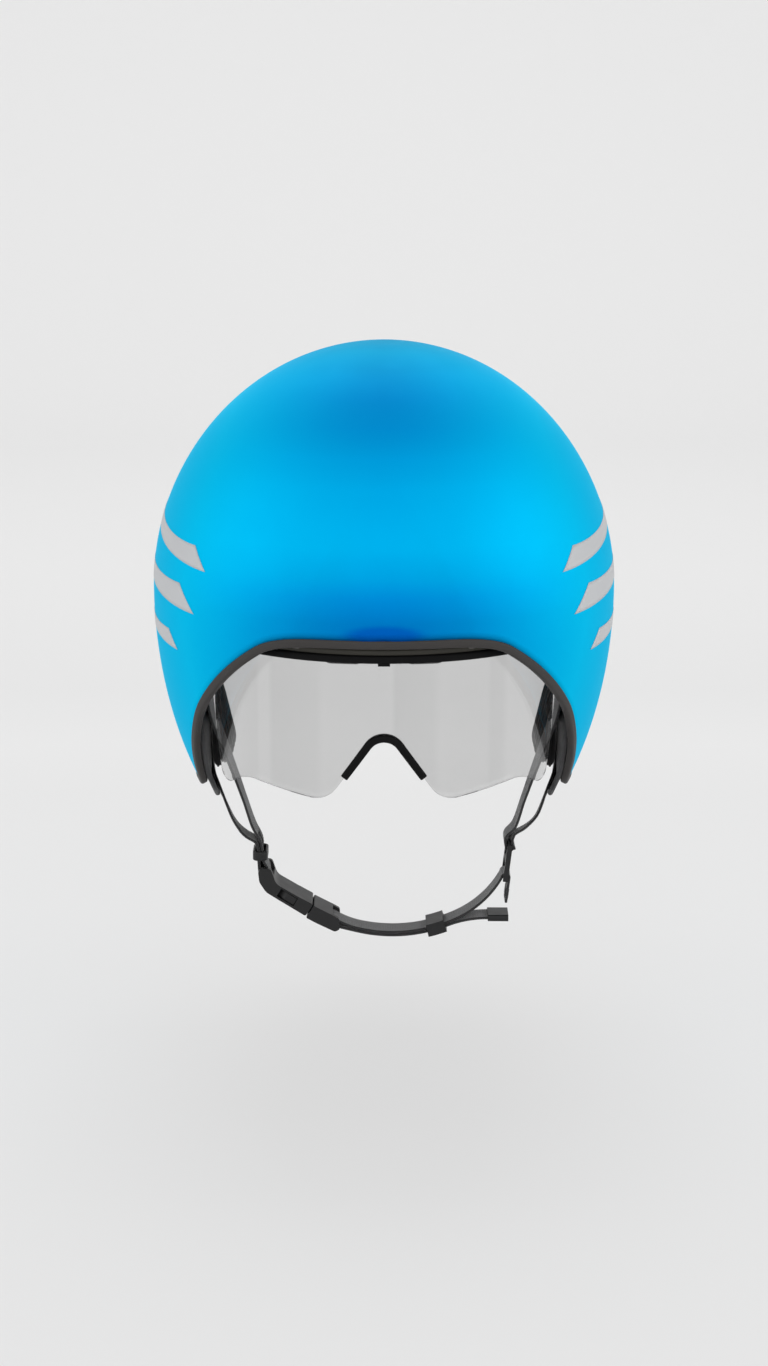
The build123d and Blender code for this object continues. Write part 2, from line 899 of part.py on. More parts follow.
def make_divider():
    """Sleeve that holds the two legs together above the buckle."""
    front = left_front_end[1]
    rear = left_rear_end[2]
    centre = Vector((front.X + rear.X) / 2, strap_plane, front.Z + divider_tall / 4)
    thick = abs(front.X - rear.X) + 2 * web_thick + 2 * web_gap
    outer = Box(thick + 2 * divider_wall, web_width + 2 * divider_wall + 2 * web_gap, divider_tall)
    inner = Box(thick, web_width + 2 * web_gap, divider_tall + overrun)
    return Pos(centre) * (fillet(outer.edges().filter_by(Axis.Z), divider_wall) - inner)


def make_anchor(y, z, inner_x):
    """Round plate that joins a strap's end to the ear lining behind it."""
    outer_x = -lining_inner_top
    plate = Cylinder(anchor_radius, inner_x - outer_x)
    return Pos((inner_x + outer_x) / 2, y, z) * Rot(0, 90, 0) * plate


# Chin strap

def flat_band(*edges):
    """Webbing along edges that stay in one plane across Y."""
    band = None
    for edge in edges:
        section = Plane(edge @ 0, x_dir=(0, 1, 0), z_dir=edge % 0) * Rectangle(web_width, web_thick)
        run = sweep(section, path=edge)
        band = run if band is None else band + run
    return band


def chin_arc(start, end, radius):
    return ThreePointArc(
        chin_point(start, radius), chin_point((start + end) / 2, radius), chin_point(end, radius)
    )


leave_angle = keeper_angle + leave_lead
layer_step = web_thick + web_gap
upper_radius = chin_radius - layer_step / 2
lower_radius = chin_radius + layer_step / 2
plug_bar = chin_point(plug_bar_angle)
tail_end = chin_point(tail_angle, chin_radius + tail_drop)


def make_chin_strap():
    """One piece: sewn round the link, down under the chin, round the plug's bar and back to its end."""
    half = loop_radius(plug_bar_radius)
    upper_arc = chin_arc(spread_angle, rise_angle, upper_radius)
    upper_spread = TangentArc(upper_arc @ 0, chin_point(plug_bar_angle, chin_radius - half),
                              tangent=(upper_arc % 0) * -1)
    link_half = loop_radius(link_bar_radius)
    climb = TangentArc(upper_arc @ 1, link_bottom_bar - Vector(link_half, 0, 0), tangent=upper_arc % 1)
    lower_arc = chin_arc(spread_angle, leave_angle, lower_radius)
    lower_spread = TangentArc(lower_arc @ 0, chin_point(plug_bar_angle, chin_radius + half),
                              tangent=(lower_arc % 0) * -1)
    tail = TangentArc(lower_arc @ 1, tail_end, tangent=lower_arc % 1)
    upper = flat_band(upper_spread, upper_arc, climb)
    lower = flat_band(lower_spread, lower_arc, tail)
    plug_turn = half_loop(plug_bar, half, 90 + plug_bar_angle, 270 + plug_bar_angle)
    link_turn = half_loop(link_bottom_bar, link_half, 0, 180)
    tail_start = link_bottom_bar + Vector(link_half, 0, 0)
    lean = math.radians(fold_lean)
    sewn_end = tail_start + Vector(-math.sin(lean), 0, -math.cos(lean)) * link_tail_length
    sewn = flat_band(Line(tail_start, sewn_end))
    return upper + lower + plug_turn + link_turn + sewn


def make_strap_end():
    """Stiff sewn tab on the free end."""
    tail = TangentArc(chin_point(leave_angle, lower_radius), tail_end,
                      tangent=chin_arc(spread_angle, leave_angle, lower_radius) % 1)
    place = Plane(tail_end, x_dir=(0, 1, 0), z_dir=tail % 1)
    outline = RectangleRounded(web_width + 2 * web_gap, end_tab_thick, end_tab_thick / 3)
    return extrude(place * outline, amount=end_tab_length)


def make_keeper():
    """Loose loop round both layers of the chin strap."""
    inner = upper_radius - web_thick / 2 - web_gap
    outer = lower_radius + web_thick / 2 + web_gap
    half_angle = math.degrees(keeper_length / 2 / chin_radius)
    middle = keeper_angle - 90
    width = web_width + 2 * web_gap
    body = ring_sector(
        inner - keeper_wall,
        outer + keeper_wall,
        middle - half_angle,
        middle + half_angle,
        width + 2 * keeper_wall,
    )
    opening = ring_sector(inner, outer, middle - 2 * half_angle, middle + 2 * half_angle, width)
    return Pos(chin_centre_x, strap_plane, chin_centre_z) * Rot(90, 0, 0) * (body - opening)


def make_link():
    """Moulded two-slot link that joins the right side strap to the chin strap."""
    frame = Pos((link_top_bar + link_bottom_bar) / 2) * Rot(0, link_lean, 0)
    link = None
    for height in (-link_tall / 2, 0, link_tall / 2):
        bar = Pos(0, 0, height) * Rot(90, 0, 0) * Cylinder(link_bar_radius, link_width)
        link = bar if link is None else link + bar
    side_wall = (link_width - web_width) / 2 - web_gap
    for side in (-1, 1):
        cheek = Box(2 * link_bar_radius, side_wall, link_tall + 2 * link_bar_radius)
        link = link + Pos(0, side * (link_width - side_wall) / 2, 0) * cheek
    return frame * link


# Side-release buckle, laid along an axis that runs from the plug up to the left strap's bar

split_place = chin_point(split_angle, chin_radius - split_rise)
buckle_frame = Plane(
    split_place,
    x_dir=(-math.cos(math.radians(buckle_lean)), 0, math.sin(math.radians(buckle_lean))),
    z_dir=(math.sin(math.radians(buckle_lean)), 0, math.cos(math.radians(buckle_lean))),
)

# Side views of the buckle's two halves from the split, as shares of the buckle's length and fall
housing_shares = [
    (-0.554, 0.51),
    (-0.539, 0.35),
    (-0.4665, 0.226),
    (-0.3215, 0.1244),
    (-0.04225, -0.066),
    (0.042, 0.074),
    (-0.144, 0.1876),
    (-0.3565, 0.3268),
    (-0.4115, 0.51),
]
housing_radius_shares = [0.25, 0.625, 0.75, 1.0, 0.1, 0.1, 1.0, 0.75, 0.25]
plug_shares = [
    (-0.035, -0.088),
    (0.0785, -0.156),
    (0.2785, -0.262),
    (0.331, -0.234),
    (0.326, -0.102),
    (0.266, -0.064),
    (0.051, 0.058),
]
plug_radius_shares = [0.075, 0.75, 0.25, 0.1875, 0.1875, 0.25, 0.075]


def buckle_outline(shares):
    places = []
    for x_share, z_share in shares:
        places.append((split_place.X + x_share * buckle_span, split_place.Z + z_share * buckle_fall))
    return places


def buckle_block(x_low, x_high, y_low, y_high, half_thick):
    return buckle_frame.location * block(x_low, x_high, y_low, y_high, -half_thick, half_thick)


def make_buckle_housing():
    corners = buckle_outline(housing_shares)
    radii = [share * buckle_round for share in housing_radius_shares]
    half = buckle_width / 2
    body = frontal(corners, strap_plane - half, strap_plane + half, radii)
    hollow_half_width = half - hollow_wall_share * buckle_wall
    overlap = buckle_wall
    body = body - buckle_block(
        -overlap, buckle_hollow_length, -hollow_half_width, hollow_half_width, buckle_hollow_half
    )
    window_start = prong_barb - web_gap
    body = body - buckle_block(window_start, prong_tip + web_gap, -half - overlap, half + overlap,
                               buckle_hollow_half)
    slot_half = web_width / 2 + web_gap
    pocket_radius = loop_radius(buckle_bar_radius) + web_thick / 2 + pocket_gap_share * web_gap
    pocket = Pos(left_bar) * Rot(90, 0, 0) * Cylinder(pocket_radius, 2 * slot_half)
    above = block(
        left_bar.X - 2 * pocket_radius,
        left_bar.X + 2 * pocket_radius,
        strap_plane - slot_half,
        strap_plane + slot_half,
        left_bar.Z,
        left_bar.Z + overrun,
    )
    bar = Pos(left_bar) * Rot(90, 0, 0) * Cylinder(buckle_bar_radius, buckle_width)
    return body - pocket - above + bar


def make_buckle_plug():
    corners = buckle_outline(plug_shares)
    radii = [share * buckle_round for share in plug_radius_shares]
    half = buckle_width / 2
    body = frontal(corners, strap_plane - half, strap_plane + half, radii)
    tongue_half = plug_tongue_width / 2
    tongue = buckle_block(-prong_root, plug_tongue_length, -tongue_half, tongue_half, plug_tongue_thick / 2)
    body = body + tongue
    for side in (-1, 1):
        inner = prong_arm_inner - web_gap
        outer = prong_arm_inner + prong_arm_width + web_gap
        low, high = sorted((side * inner, side * outer))
        body = body - buckle_block(-prong_root - web_gap, prong_barb, low, high, buckle_hollow_half)
    slot_half = web_width / 2 + web_gap
    pocket_radius = loop_radius(plug_bar_radius) + web_thick / 2 + pocket_gap_share * web_gap
    pocket = Pos(plug_bar) * Rot(90, 0, 0) * Cylinder(pocket_radius, 2 * slot_half)
    beyond = block(
        plug_bar.X,
        plug_bar.X + overrun,
        strap_plane - slot_half,
        strap_plane + slot_half,
        plug_bar.Z - overrun,
        plug_bar.Z + overrun,
    )
    bar = Pos(plug_bar) * Rot(90, 0, 0) * Cylinder(plug_bar_radius, buckle_width)
    return body - pocket - beyond + bar


def make_prong(side):
    """Springy arm whose barbed head fills the housing's side window."""
    inner = prong_arm_inner
    outer = prong_arm_inner + prong_arm_width
    head = buckle_width / 2 - prong_inset
    corners = [
        (-prong_root, inner),
        (prong_tip, inner),
        (prong_tip, outer),
        (prong_tip - prong_bevel, head),
        (prong_barb, head),
        (prong_barb, outer),
        (-prong_root, outer),
    ]
    points = [(x, side * y, -prong_thick / 2) for x, y in corners]
    face = make_face(Polyline(*points, close=True))
    return buckle_frame.location * extrude(face, amount=prong_thick, dir=(0, 0, 1))


# Fit system, built level about the temple axis and then tilted

tilt = Pos(0, temple_y, 0) * Rot(-fit_tilt, 0, 0)
ring_middle = Pos(0, ring_centre, 0)
band_inner = ring_radius - band_thick / 2
band_outer = ring_radius + band_thick / 2
rack_pitch_height = gear_module * pinion_teeth / 2
rack_base = rack_pitch_height + tooth_dedendum


def ring_arc(radius_in, radius_out, start, end, z_low, z_high):
    """Arc of the head ring between two angles counted from straight behind towards +X."""
    part = ring_sector(radius_in, radius_out, 90 - end, 90 - start, z_high - z_low)
    return ring_middle * Pos(0, 0, (z_low + z_high) / 2) * part


def arc_angle(length):
    return math.degrees(length / ring_radius)


temple_angle = 90 + math.degrees(math.asin(ring_centre / ring_radius))


def rack_tooth(angle, up):
    """Rack tooth that points at the pitch line; up is 1 when the rack lies above the pinion."""
    slope = math.tan(math.radians(pressure_angle))
    tip_half = tooth_pitch_width / 2 - tooth_addendum * slope
    base_half = tooth_pitch_width / 2 + tooth_dedendum * slope
    tip = rack_pitch_height - tooth_addendum
    root = rack_base + tooth_addendum / 4
    points = [
        (-base_half, band_inner, up * root),
        (-base_half, band_inner, up * rack_base),
        (-tip_half, band_inner, up * tip),
        (tip_half, band_inner, up * tip),
        (base_half, band_inner, up * rack_base),
        (base_half, band_inner, up * root),
    ]
    tooth = extrude(make_face(Polyline(*points, close=True)), amount=band_thick, dir=(0, 1, 0))
    return ring_middle * Rot(0, 0, -angle) * tooth


def make_band(side):
    """Side band with its rack; the left band's rack lies above the pinion, the right one's below."""
    up = -side
    front_end = temple_angle + arc_angle(band_run_out + rack_pitch_height)
    step_angle = cradle_half_angle - band_step_lead
    half = band_height / 2
    rack_top = rack_base + rack_height

    def piece(start, end, low, high):
        first, last = sorted((side * start, side * end))
        z_low, z_high = sorted((up * low, up * high))
        return ring_arc(band_inner, band_outer, first, last, z_low, z_high)

    step_width = arc_angle(band_height / 2)
    band = piece(step_angle, front_end, -half, half)
    band = band + piece(step_angle - step_width, step_angle + step_width, -half, rack_top)
    band = band + piece(-arc_angle(rack_overlap), step_angle, rack_base, rack_top)
    tab = arc_angle(band_thick)
    band = band + piece(front_end - tab, front_end, -stop_tab_height / 2, stop_tab_height / 2)
    pitch_angle = arc_angle(math.pi * gear_module)
    count = int(arc_angle(rack_overlap + 2 * rack_pitch_height) / pitch_angle)
    first = math.ceil((-arc_angle(rack_overlap) + pitch_angle / 2) / pitch_angle) + 0.5
    for index in range(count):
        angle = (first - 0.5 + index) * pitch_angle
        band = band + rack_tooth(side * angle, up)
    return tilt * band


def make_pinion():
    """Pinion and its shaft on one radial axis; a gap between teeth faces each rack tooth at rest."""
    radius = gear_module * pinion_teeth / 2
    root = radius - tooth_dedendum
    tip = radius + tooth_addendum
    start = ring_centre + band_inner
    half_tooth = tooth_pitch_width / 2
    slope = math.tan(math.radians(pressure_angle))
    foot = root * tooth_foot_share
    flank = tooth_dedendum * slope * tooth_flank_share
    low = -pinion_thick / 2
    gear = Cylinder(root, pinion_thick)
    for index in range(pinion_teeth):
        points = [
            (foot, -half_tooth - tooth_dedendum * slope, low),
            (root, -half_tooth - flank, low),
            (tip, -half_tooth + tooth_addendum * slope, low),
            (tip, half_tooth - tooth_addendum * slope, low),
            (root, half_tooth + flank, low),
            (foot, half_tooth + tooth_dedendum * slope, low),
        ]
        tooth = extrude(make_face(Polyline(*points, close=True)), amount=pinion_thick, dir=(0, 0, 1))
        turn = (index + 0.5) * 360 / pinion_teeth
        gear = gear + Rot(0, 0, turn) * tooth
    middle = start + pinion_thick / 2
    shaft_end = knob_face() + knob_thick - screw_head_thick - ratchet_recess / 2
    shaft_length = shaft_end - middle
    shaft = Pos(0, 0, shaft_length / 2) * Cylinder(pinion_shaft_radius, shaft_length)
    pivot_length = pinion_thick / 2 + band_gap + cradle_thick
    pivot = Pos(0, 0, -pivot_length / 2) * Cylinder(pinion_shaft_radius * pivot_share, pivot_length)
    body = gear + shaft + pivot
    hole = Pos(0, 0, shaft_length - screw_length / 2) * Cylinder(screw_radius + bore_gap, screw_length)
    body = body - hole
    return tilt * radial_frame(middle) * body


def radial_frame(distance):
    """Frame on the dial axis: its Z runs straight back, its X towards +X."""
    return Plane((0, distance, 0), x_dir=(1, 0, 0), z_dir=(0, 1, 0)).location


def housing_face():
    """Flat boss on the back of the housing that the knob runs on."""
    return ring_centre + band_outer + band_gap + housing_wall + web_gap


def knob_face():
    return housing_face() + fit_gap


def make_knob():
    """Dial knob with scalloped grip, a ratchet ring inside its rim and a seat for the screw's head."""
    knob = Cylinder(knob_radius, knob_thick)
    knob = fillet(knob.edges().group_by(Axis.Z)[-1], knob_edge_share * scallop_radius)
    for index in range(knob_scallops):
        turn = index * 360 / knob_scallops
        cut_place = Pos(knob_radius + scallop_set_share * scallop_radius, 0, 0)
        cut = cut_place * Cylinder(scallop_radius, knob_thick)
        knob = knob - Rot(0, 0, turn) * cut
    recess_place = Pos(0, 0, -knob_thick / 2 + ratchet_recess / 2)
    recess = recess_place * Cylinder(ratchet_radius, ratchet_recess)
    recess = recess - recess_place * Cylinder(pinion_shaft_radius + band_thick, ratchet_recess)
    knob = knob - recess
    for index in range(ratchet_teeth):
        turn = index * 360 / ratchet_teeth
        points = [
            (ratchet_radius + ratchet_depth, -ratchet_depth, 0),
            (ratchet_radius - ratchet_depth, 0, 0),
            (ratchet_radius + ratchet_depth, ratchet_depth, 0),
        ]
        tooth = extrude(make_face(Polyline(*points, close=True)), amount=ratchet_recess, dir=(0, 0, 1))
        knob = knob + Pos(0, 0, -knob_thick / 2) * Rot(0, 0, turn) * tooth
    knob = knob - Cylinder(pinion_shaft_radius, knob_thick + overrun)
    seat_thick = screw_head_thick + ratchet_recess / 2
    seat = Pos(0, 0, knob_thick / 2 - seat_thick / 2) * Cylinder(screw_head_radius + fit_gap, seat_thick)
    knob = knob - seat
    return tilt * radial_frame(knob_face() + knob_thick / 2) * knob


def make_dial_screw():
    head_top = knob_face() + knob_thick - ratchet_recess / 2
    head = Pos(0, 0, -screw_head_thick / 2) * Cylinder(screw_head_radius, screw_head_thick)
    shank_length = screw_length - fit_gap
    shank = Pos(0, 0, -screw_head_thick - shank_length / 2) * Cylinder(screw_radius, shank_length)
    driver = Box(screw_head_radius, screw_radius / 2, screw_head_thick)
    return tilt * radial_frame(head_top) * (head + shank - driver)


def make_detent():
    """C-shaped click spring seated on the housing, its nose beside the knob's ratchet ring."""
    outer = detent_inner + detent_width
    spring = ring_sector(detent_inner, outer, detent_start, detent_end, ratchet_recess - 2 * fit_gap)
    gap_to_tip = ratchet_radius - ratchet_depth - web_gap / 2
    nose_points = [
        (outer - detent_width / 2, -detent_width),
        (gap_to_tip, 0),
        (outer - detent_width / 2, detent_width),
    ]
    thick = ratchet_recess - 2 * fit_gap
    nose_points = [(x, y, -thick / 2) for x, y in nose_points]
    nose = extrude(make_face(Polyline(*nose_points, close=True)), amount=thick, dir=(0, 0, 1))
    turn = Rot(0, 0, 90 + 180 / ratchet_teeth)
    return tilt * radial_frame(housing_face() + thick / 2) * (spring + turn * nose)


def make_housing():
    """Curved case over the two racks, open at one upper and one lower corner for the bands."""
    half_angle = arc_angle(housing_half_length)
    inner = band_inner - band_gap
    outer = band_outer + band_gap
    top = rack_base + rack_height + band_gap
    case_half = top + housing_wall
    case = ring_arc(inner, outer + housing_wall, -half_angle, half_angle, -case_half, case_half)
    boss_start = ring_centre + outer
    boss_length = housing_face() - boss_start
    boss = radial_frame(boss_start + boss_length / 2) * Cylinder(housing_boss_radius, boss_length)
    case = case + boss
    end_angle = half_angle - arc_angle(housing_wall)
    case = case - ring_arc(inner - housing_wall, outer, -end_angle, end_angle, -top, top)
    door_low = rack_base - band_gap
    left_door = ring_arc(inner - housing_wall, outer, -2 * half_angle, 0, door_low, top)
    right_door = ring_arc(inner - housing_wall, outer, 0, 2 * half_angle, -top, -door_low)
    case = case - left_door - right_door
    bore = radial_frame(boss_start) * Cylinder(pinion_shaft_radius + bore_gap, overrun)
    return tilt * (case - bore)


def make_cradle():
    """Plate behind the head that closes the housing and reaches down in two lobes."""
    inner = band_inner - band_gap - cradle_thick
    outer = band_inner - band_gap
    body_top = cradle_rise + housing_wall
    body = ring_arc(inner, outer, -cradle_half_angle, cradle_half_angle, -cradle_drop, body_top)
    far = ring_centre + ring_radius + overrun
    wide = ring_radius * math.sin(math.radians(cradle_half_angle))
    lobes = [(x_share * wide, 0, -z_share * cradle_drop) for x_share, z_share in cradle_lobe_shares]
    top = cradle_rise + housing_wall / 2
    outline = [(-wide, 0, top)] + lobes + [(wide, 0, top)]
    prism = extrude(closed_face(outline, [cradle_corner] * len(outline)), amount=far, dir=(0, 1, 0))
    cradle = body & prism
    window = RectangleRounded(
        2 * window_half_share * wide, window_tall_share * cradle_drop, window_corner_share * cradle_drop
    )
    for side in (-1, 1):
        middle = side * window_side_share * wide
        place = Plane((middle, 0, -window_down_share * cradle_drop), x_dir=(1, 0, 0), z_dir=(0, 1, 0))
        cradle = cradle - extrude(place * window, amount=far)
    pivot_bore = pinion_shaft_radius * pivot_share + bore_gap
    bore = radial_frame(ring_centre + inner) * Cylinder(pivot_bore, 4 * cradle_thick)
    return tilt * (cradle - bore)


def make_cradle_pad(side):
    """Soft pad on the head side of one lobe."""
    outer = band_inner - band_gap - cradle_thick
    inner = outer - cradle_pad_thick
    near = side * cradle_pad_inner_share * cradle_half_angle
    away = side * cradle_pad_outer_share * cradle_half_angle
    first, last = sorted((near, away))
    pad = ring_arc(inner, outer, first, last, -cradle_pad_down_share * cradle_drop, cradle_rise)
    pad = fillet(pad.edges().filter_by(GeomType.LINE).filter_by(Axis.Z, reverse=True), cradle_pad_thick / 3)
    return tilt * pad


def make_temple_clip(side):
    """Guide that the band slides through, with a boss that turns on the temple pin."""
    inner = band_inner - band_gap
    outer = band_outer + band_gap
    first, last = sorted((side * (temple_angle - clip_half_angle), side * (temple_angle + clip_half_angle)))
    half = clip_height / 2
    sleeve = ring_arc(inner - band_thick / 2, outer + band_thick / 2, first, last, -half, half)
    boss_end = head_half_width - clip_gap_share * web_gap
    boss_start = boss_end - clip_boss_share * band_thick
    boss = Pos(side * (boss_start + boss_end) / 2, 0, 0) * Rot(0, 90, 0)
    clip = sleeve + boss * Cylinder(clip_boss_radius, boss_end - boss_start)
    cut_half_angle = clip_cut_share * clip_half_angle
    cut_start = side * (temple_angle - cut_half_angle)
    cut_end = side * (temple_angle + cut_half_angle)
    wide_first, wide_last = sorted((cut_start, cut_end))
    slot_half = band_height / 2 + band_gap
    clip = clip - ring_arc(band_inner - 4 * band_gap, outer, wide_first, wide_last, -slot_half, slot_half)
    clip = clip + ring_arc(inner - band_thick / 2, inner, first, last, -half, half)
    bore_start = boss_end - clip_bore_share * band_thick
    bore = Pos(side * (bore_start + boss_end) / 2, 0, 0) * Rot(0, 90, 0)
    clip = clip - bore * Cylinder(temple_pin_radius + bore_gap, boss_end - bore_start)
    return tilt * clip


def make_temple_pin(side):
    """Snap pin whose disc is seated in the foam at the temple."""
    disc_inner = head_half_width - web_gap
    disc_outer = disc_inner + temple_disc_thick
    pin_inner = disc_inner - clip_gap_share * web_gap - clip_bore_share * band_thick + 2 * web_gap
    disc = Pos(side * (disc_inner + disc_outer) / 2, temple_y, 0) * Rot(0, 90, 0)
    pin = Pos(side * (pin_inner + disc_inner) / 2, temple_y, 0) * Rot(0, 90, 0)
    return disc * Cylinder(temple_disc_radius, temple_disc_thick) + pin * Cylinder(
        temple_pin_radius, disc_inner - pin_inner
    )


def make_height_strip():
    """Strip that rises from the housing and carries the stud that clicks into the track."""
    top = rack_base + rack_height + band_gap + housing_wall
    foot_angle = math.degrees(math.asin(top / strip_radius))
    place = Plane((0, 0, 0), x_dir=(0, 1, 0), z_dir=(1, 0, 0)).location
    strip_inner = strip_radius - strip_thick
    strip = ring_sector(strip_inner, strip_radius, foot_angle - strip_foot_lap, strip_top_angle, strip_width)
    strip = place * strip
    strip = strip - block(-strip_width, strip_width, 0, 2 * strip_radius, -overrun, top)
    stud_start = strip_radius - strip_thick / 2
    stud_end = strip_radius + stud_length
    stud = Rot(0, 90, 0) * Cylinder(stud_radius, stud_end - stud_start)
    stud = place * (Rot(0, 0, stud_angle) * Pos((stud_start + stud_end) / 2, 0, 0) * stud)
    return tilt * (strip + stud)


shell = make_shell()
lens = make_lens()
lining = make_ear_lining()
ear_pad = make_ear_pad()
brow_pad, crown_pad, side_pad = make_pads()
left_strap = make_side_strap(left_bar, buckle_bar_radius, left_front_end, left_rear_end)
right_strap = mirrored(make_side_strap(right_bar, link_bar_radius, right_front_end, right_rear_end))
front_top = front_leg_start[0]
rear_top = rear_leg_start[0]
front_face = front_top.X - front_anchor_gap
front_anchor = make_anchor(front_top.Y, front_top.Z - anchor_radius - web_thick, front_face)
rear_face = rear_top.X - rear_anchor_gap
rear_anchor = make_anchor(rear_top.Y - web_gap, rear_top.Z - anchor_radius, rear_face)
magnets = [magnet_at(side * magnet_place, -lens_top - magnet_thick) for side in (-1, 1)]
seat_magnets = [magnet_at(side * magnet_place, -lens_top + fit_gap) for side in (-1, 1)]
seat = make_visor_seat()
seal = make_brow_seal(lens)
for magnet in magnets:
    seal = seal - magnet
    lens = lens - magnet
for magnet in seat_magnets:
    seat = seat - magnet

write("outer_shell", shell)
write("edge_trim", make_trim(shell))
write("tail_vent", make_vent())
write("foam_liner", make_foam())
write("height_track", make_height_track())
write("brow_pad", brow_pad)
write("crown_pad", crown_pad)
write("side_pad_left", side_pad)
write("side_pad_right", mirrored(side_pad))
write("ear_lining_left", lining)
write("ear_lining_right", mirrored(lining))
write("ear_pad_left", ear_pad)
write("ear_pad_right", mirrored(ear_pad))
write("visor_seat", seat)
write("seat_magnets", *seat_magnets)
write("visor_lens", lens)
write("brow_seal", seal)
write("nose_bead", make_nose_bead())
write("visor_magnets", *magnets)
write("strap_left", left_strap)
write("strap_right", right_strap)
write("strap_anchors", front_anchor, rear_anchor, mirrored(front_anchor), mirrored(rear_anchor))
write("strap_divider", make_divider())
write("chin_strap", make_chin_strap())
write("strap_end", make_strap_end())
write("strap_keeper", make_keeper())
write("strap_link", make_link())
write("buckle_housing", make_buckle_housing())
write("buckle_plug", make_buckle_plug())
write("front_prong", make_prong(1))
write("rear_prong", make_prong(-1))
write("temple_pins", make_temple_pin(-1), make_temple_pin(1))
write("temple_clip_left", make_temple_clip(-1))
write("temple_clip_right", make_temple_clip(1))
write("band_left", make_band(-1))
write("band_right", make_band(1))
write("dial_housing", make_housing())
write("cradle", make_cradle())
write("cradle_pad_left", make_cradle_pad(-1))
write("cradle_pad_right", make_cradle_pad(1))
write("detent_spring", make_detent())
write("pinion", make_pinion())
write("dial_knob", make_knob())
write("dial_screw", make_dial_screw())
write("height_strip", make_height_strip())
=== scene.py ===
# %% [markdown]
# This lesson dresses an aero time trial helmet. Its working parts come from a fixed model in real
# metres, and every piece made here either replaces one of those parts or is laid on it. The first
# cell loads the model and bakes each part's placing into its mesh.

# %% Load the fixed model
import math

import bmesh
import bpy
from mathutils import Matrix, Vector


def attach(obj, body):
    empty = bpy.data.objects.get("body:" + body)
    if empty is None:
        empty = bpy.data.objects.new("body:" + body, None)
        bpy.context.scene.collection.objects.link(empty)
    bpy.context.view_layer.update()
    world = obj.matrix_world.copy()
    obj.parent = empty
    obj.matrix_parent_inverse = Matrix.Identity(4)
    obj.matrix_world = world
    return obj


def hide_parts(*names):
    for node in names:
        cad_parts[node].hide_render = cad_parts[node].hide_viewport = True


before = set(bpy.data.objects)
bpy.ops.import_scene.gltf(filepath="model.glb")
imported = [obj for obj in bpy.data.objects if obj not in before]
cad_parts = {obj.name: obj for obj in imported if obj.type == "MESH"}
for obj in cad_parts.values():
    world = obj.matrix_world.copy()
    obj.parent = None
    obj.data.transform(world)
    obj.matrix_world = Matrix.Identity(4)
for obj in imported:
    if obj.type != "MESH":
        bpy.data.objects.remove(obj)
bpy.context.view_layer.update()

millimetre = 0.001
sides = (("left", -1), ("right", 1))

# %% [markdown]
# The camera stands a metre and a half in front of the helmet, a little above it, and looks slightly
# down. A long lens keeps the round shell from bulging. The frame is taller than it is wide, so the
# sensor's width lies along the tall side.

# %% Camera
def put_in_scene(name, data):
    made = bpy.data.objects.new(name, data)
    bpy.context.collection.objects.link(made)
    return made


camera_data = bpy.data.cameras.new("camera")
camera_data.sensor_width = 36.0
camera_data.lens = 86.0
camera = put_in_scene("camera", camera_data)
camera.location = (0.0, -1.5757, 0.2778)
camera.rotation_euler = (math.radians(78.25), 0.0, 0.0)
bpy.context.scene.camera = camera
print("camera lens", camera_data.lens, "mm at", list(camera.location))

# %% [markdown]
# Most finishes below start from the same shader, then get their own noise, weave or gloss. A small
# bench of helpers makes that readable: each word adds one node and joins its inputs. All textures
# read object coordinates, which here are real metres, so a scale can be thought of in grains for
# each metre. Values that are the same all over a surface are set on the shader's own sockets.

# %% Helpers for materials
class Bench:
    """A node tree, with short words for the nodes that a finish needs."""

    def __init__(self, tree):
        self.tree = tree
        self.places = self.add("TexCoord").outputs
        self.metres = self.places["Object"]

    def join(self, value, socket):
        """Link a socket, or set a value; a colour of three gets its alpha."""
        if isinstance(value, bpy.types.NodeSocket):
            self.tree.links.new(value, socket)
        else:
            socket.default_value = (*value, 1.0) if socket.type == "RGBA" else value

    def add(self, kind, links=None, **settings):
        """One node; settings are its properties, links are values or sockets for its inputs."""
        node = self.tree.nodes.new("ShaderNode" + kind)
        for key, value in settings.items():
            setattr(node, key, value)
        for key, value in (links or {}).items():
            self.join(value, node.inputs[key])
        return node

    def math(self, operation, *values, **settings):
        return self.add("Math", dict(enumerate(values)), operation=operation, **settings).outputs[0]

    def remap(self, value, low=0.0, high=1.0, to_low=0.0, to_high=1.0, **settings):
        links = {"Value": value, "From Min": low, "From Max": high, "To Min": to_low, "To Max": to_high}
        return self.add("MapRange", links, **settings).outputs[0]

    def noise(self, scale, detail=3.0, vector=None):
        return self.add("TexNoise", {"Vector": vector or self.metres, "Scale": scale, "Detail": detail}).outputs[0]

    def axes(self, vector=None):
        return self.add("SeparateXYZ", {"Vector": vector or self.metres}).outputs

    def blend(self, factor, first, second):
        return self.add("Mix", {0: factor, 6: first, 7: second}, data_type="RGBA").outputs[2]

    def mix_shaders(self, factor, first, second):
        return self.add("MixShader", {0: factor, 1: first, 2: second}).outputs[0]

    def ramp(self, source, stops):
        """Colour ramp whose stops are (position, grey or colour)."""
        node = self.add("ValToRGB", {"Fac": source})
        while len(node.color_ramp.elements) < len(stops):
            node.color_ramp.elements.new(1.0)
        for element, (position, colour) in zip(node.color_ramp.elements, stops):
            element.position = position
            element.color = (*(colour if isinstance(colour, tuple) else (colour,) * 3), 1.0)
        return node.outputs["Color"]


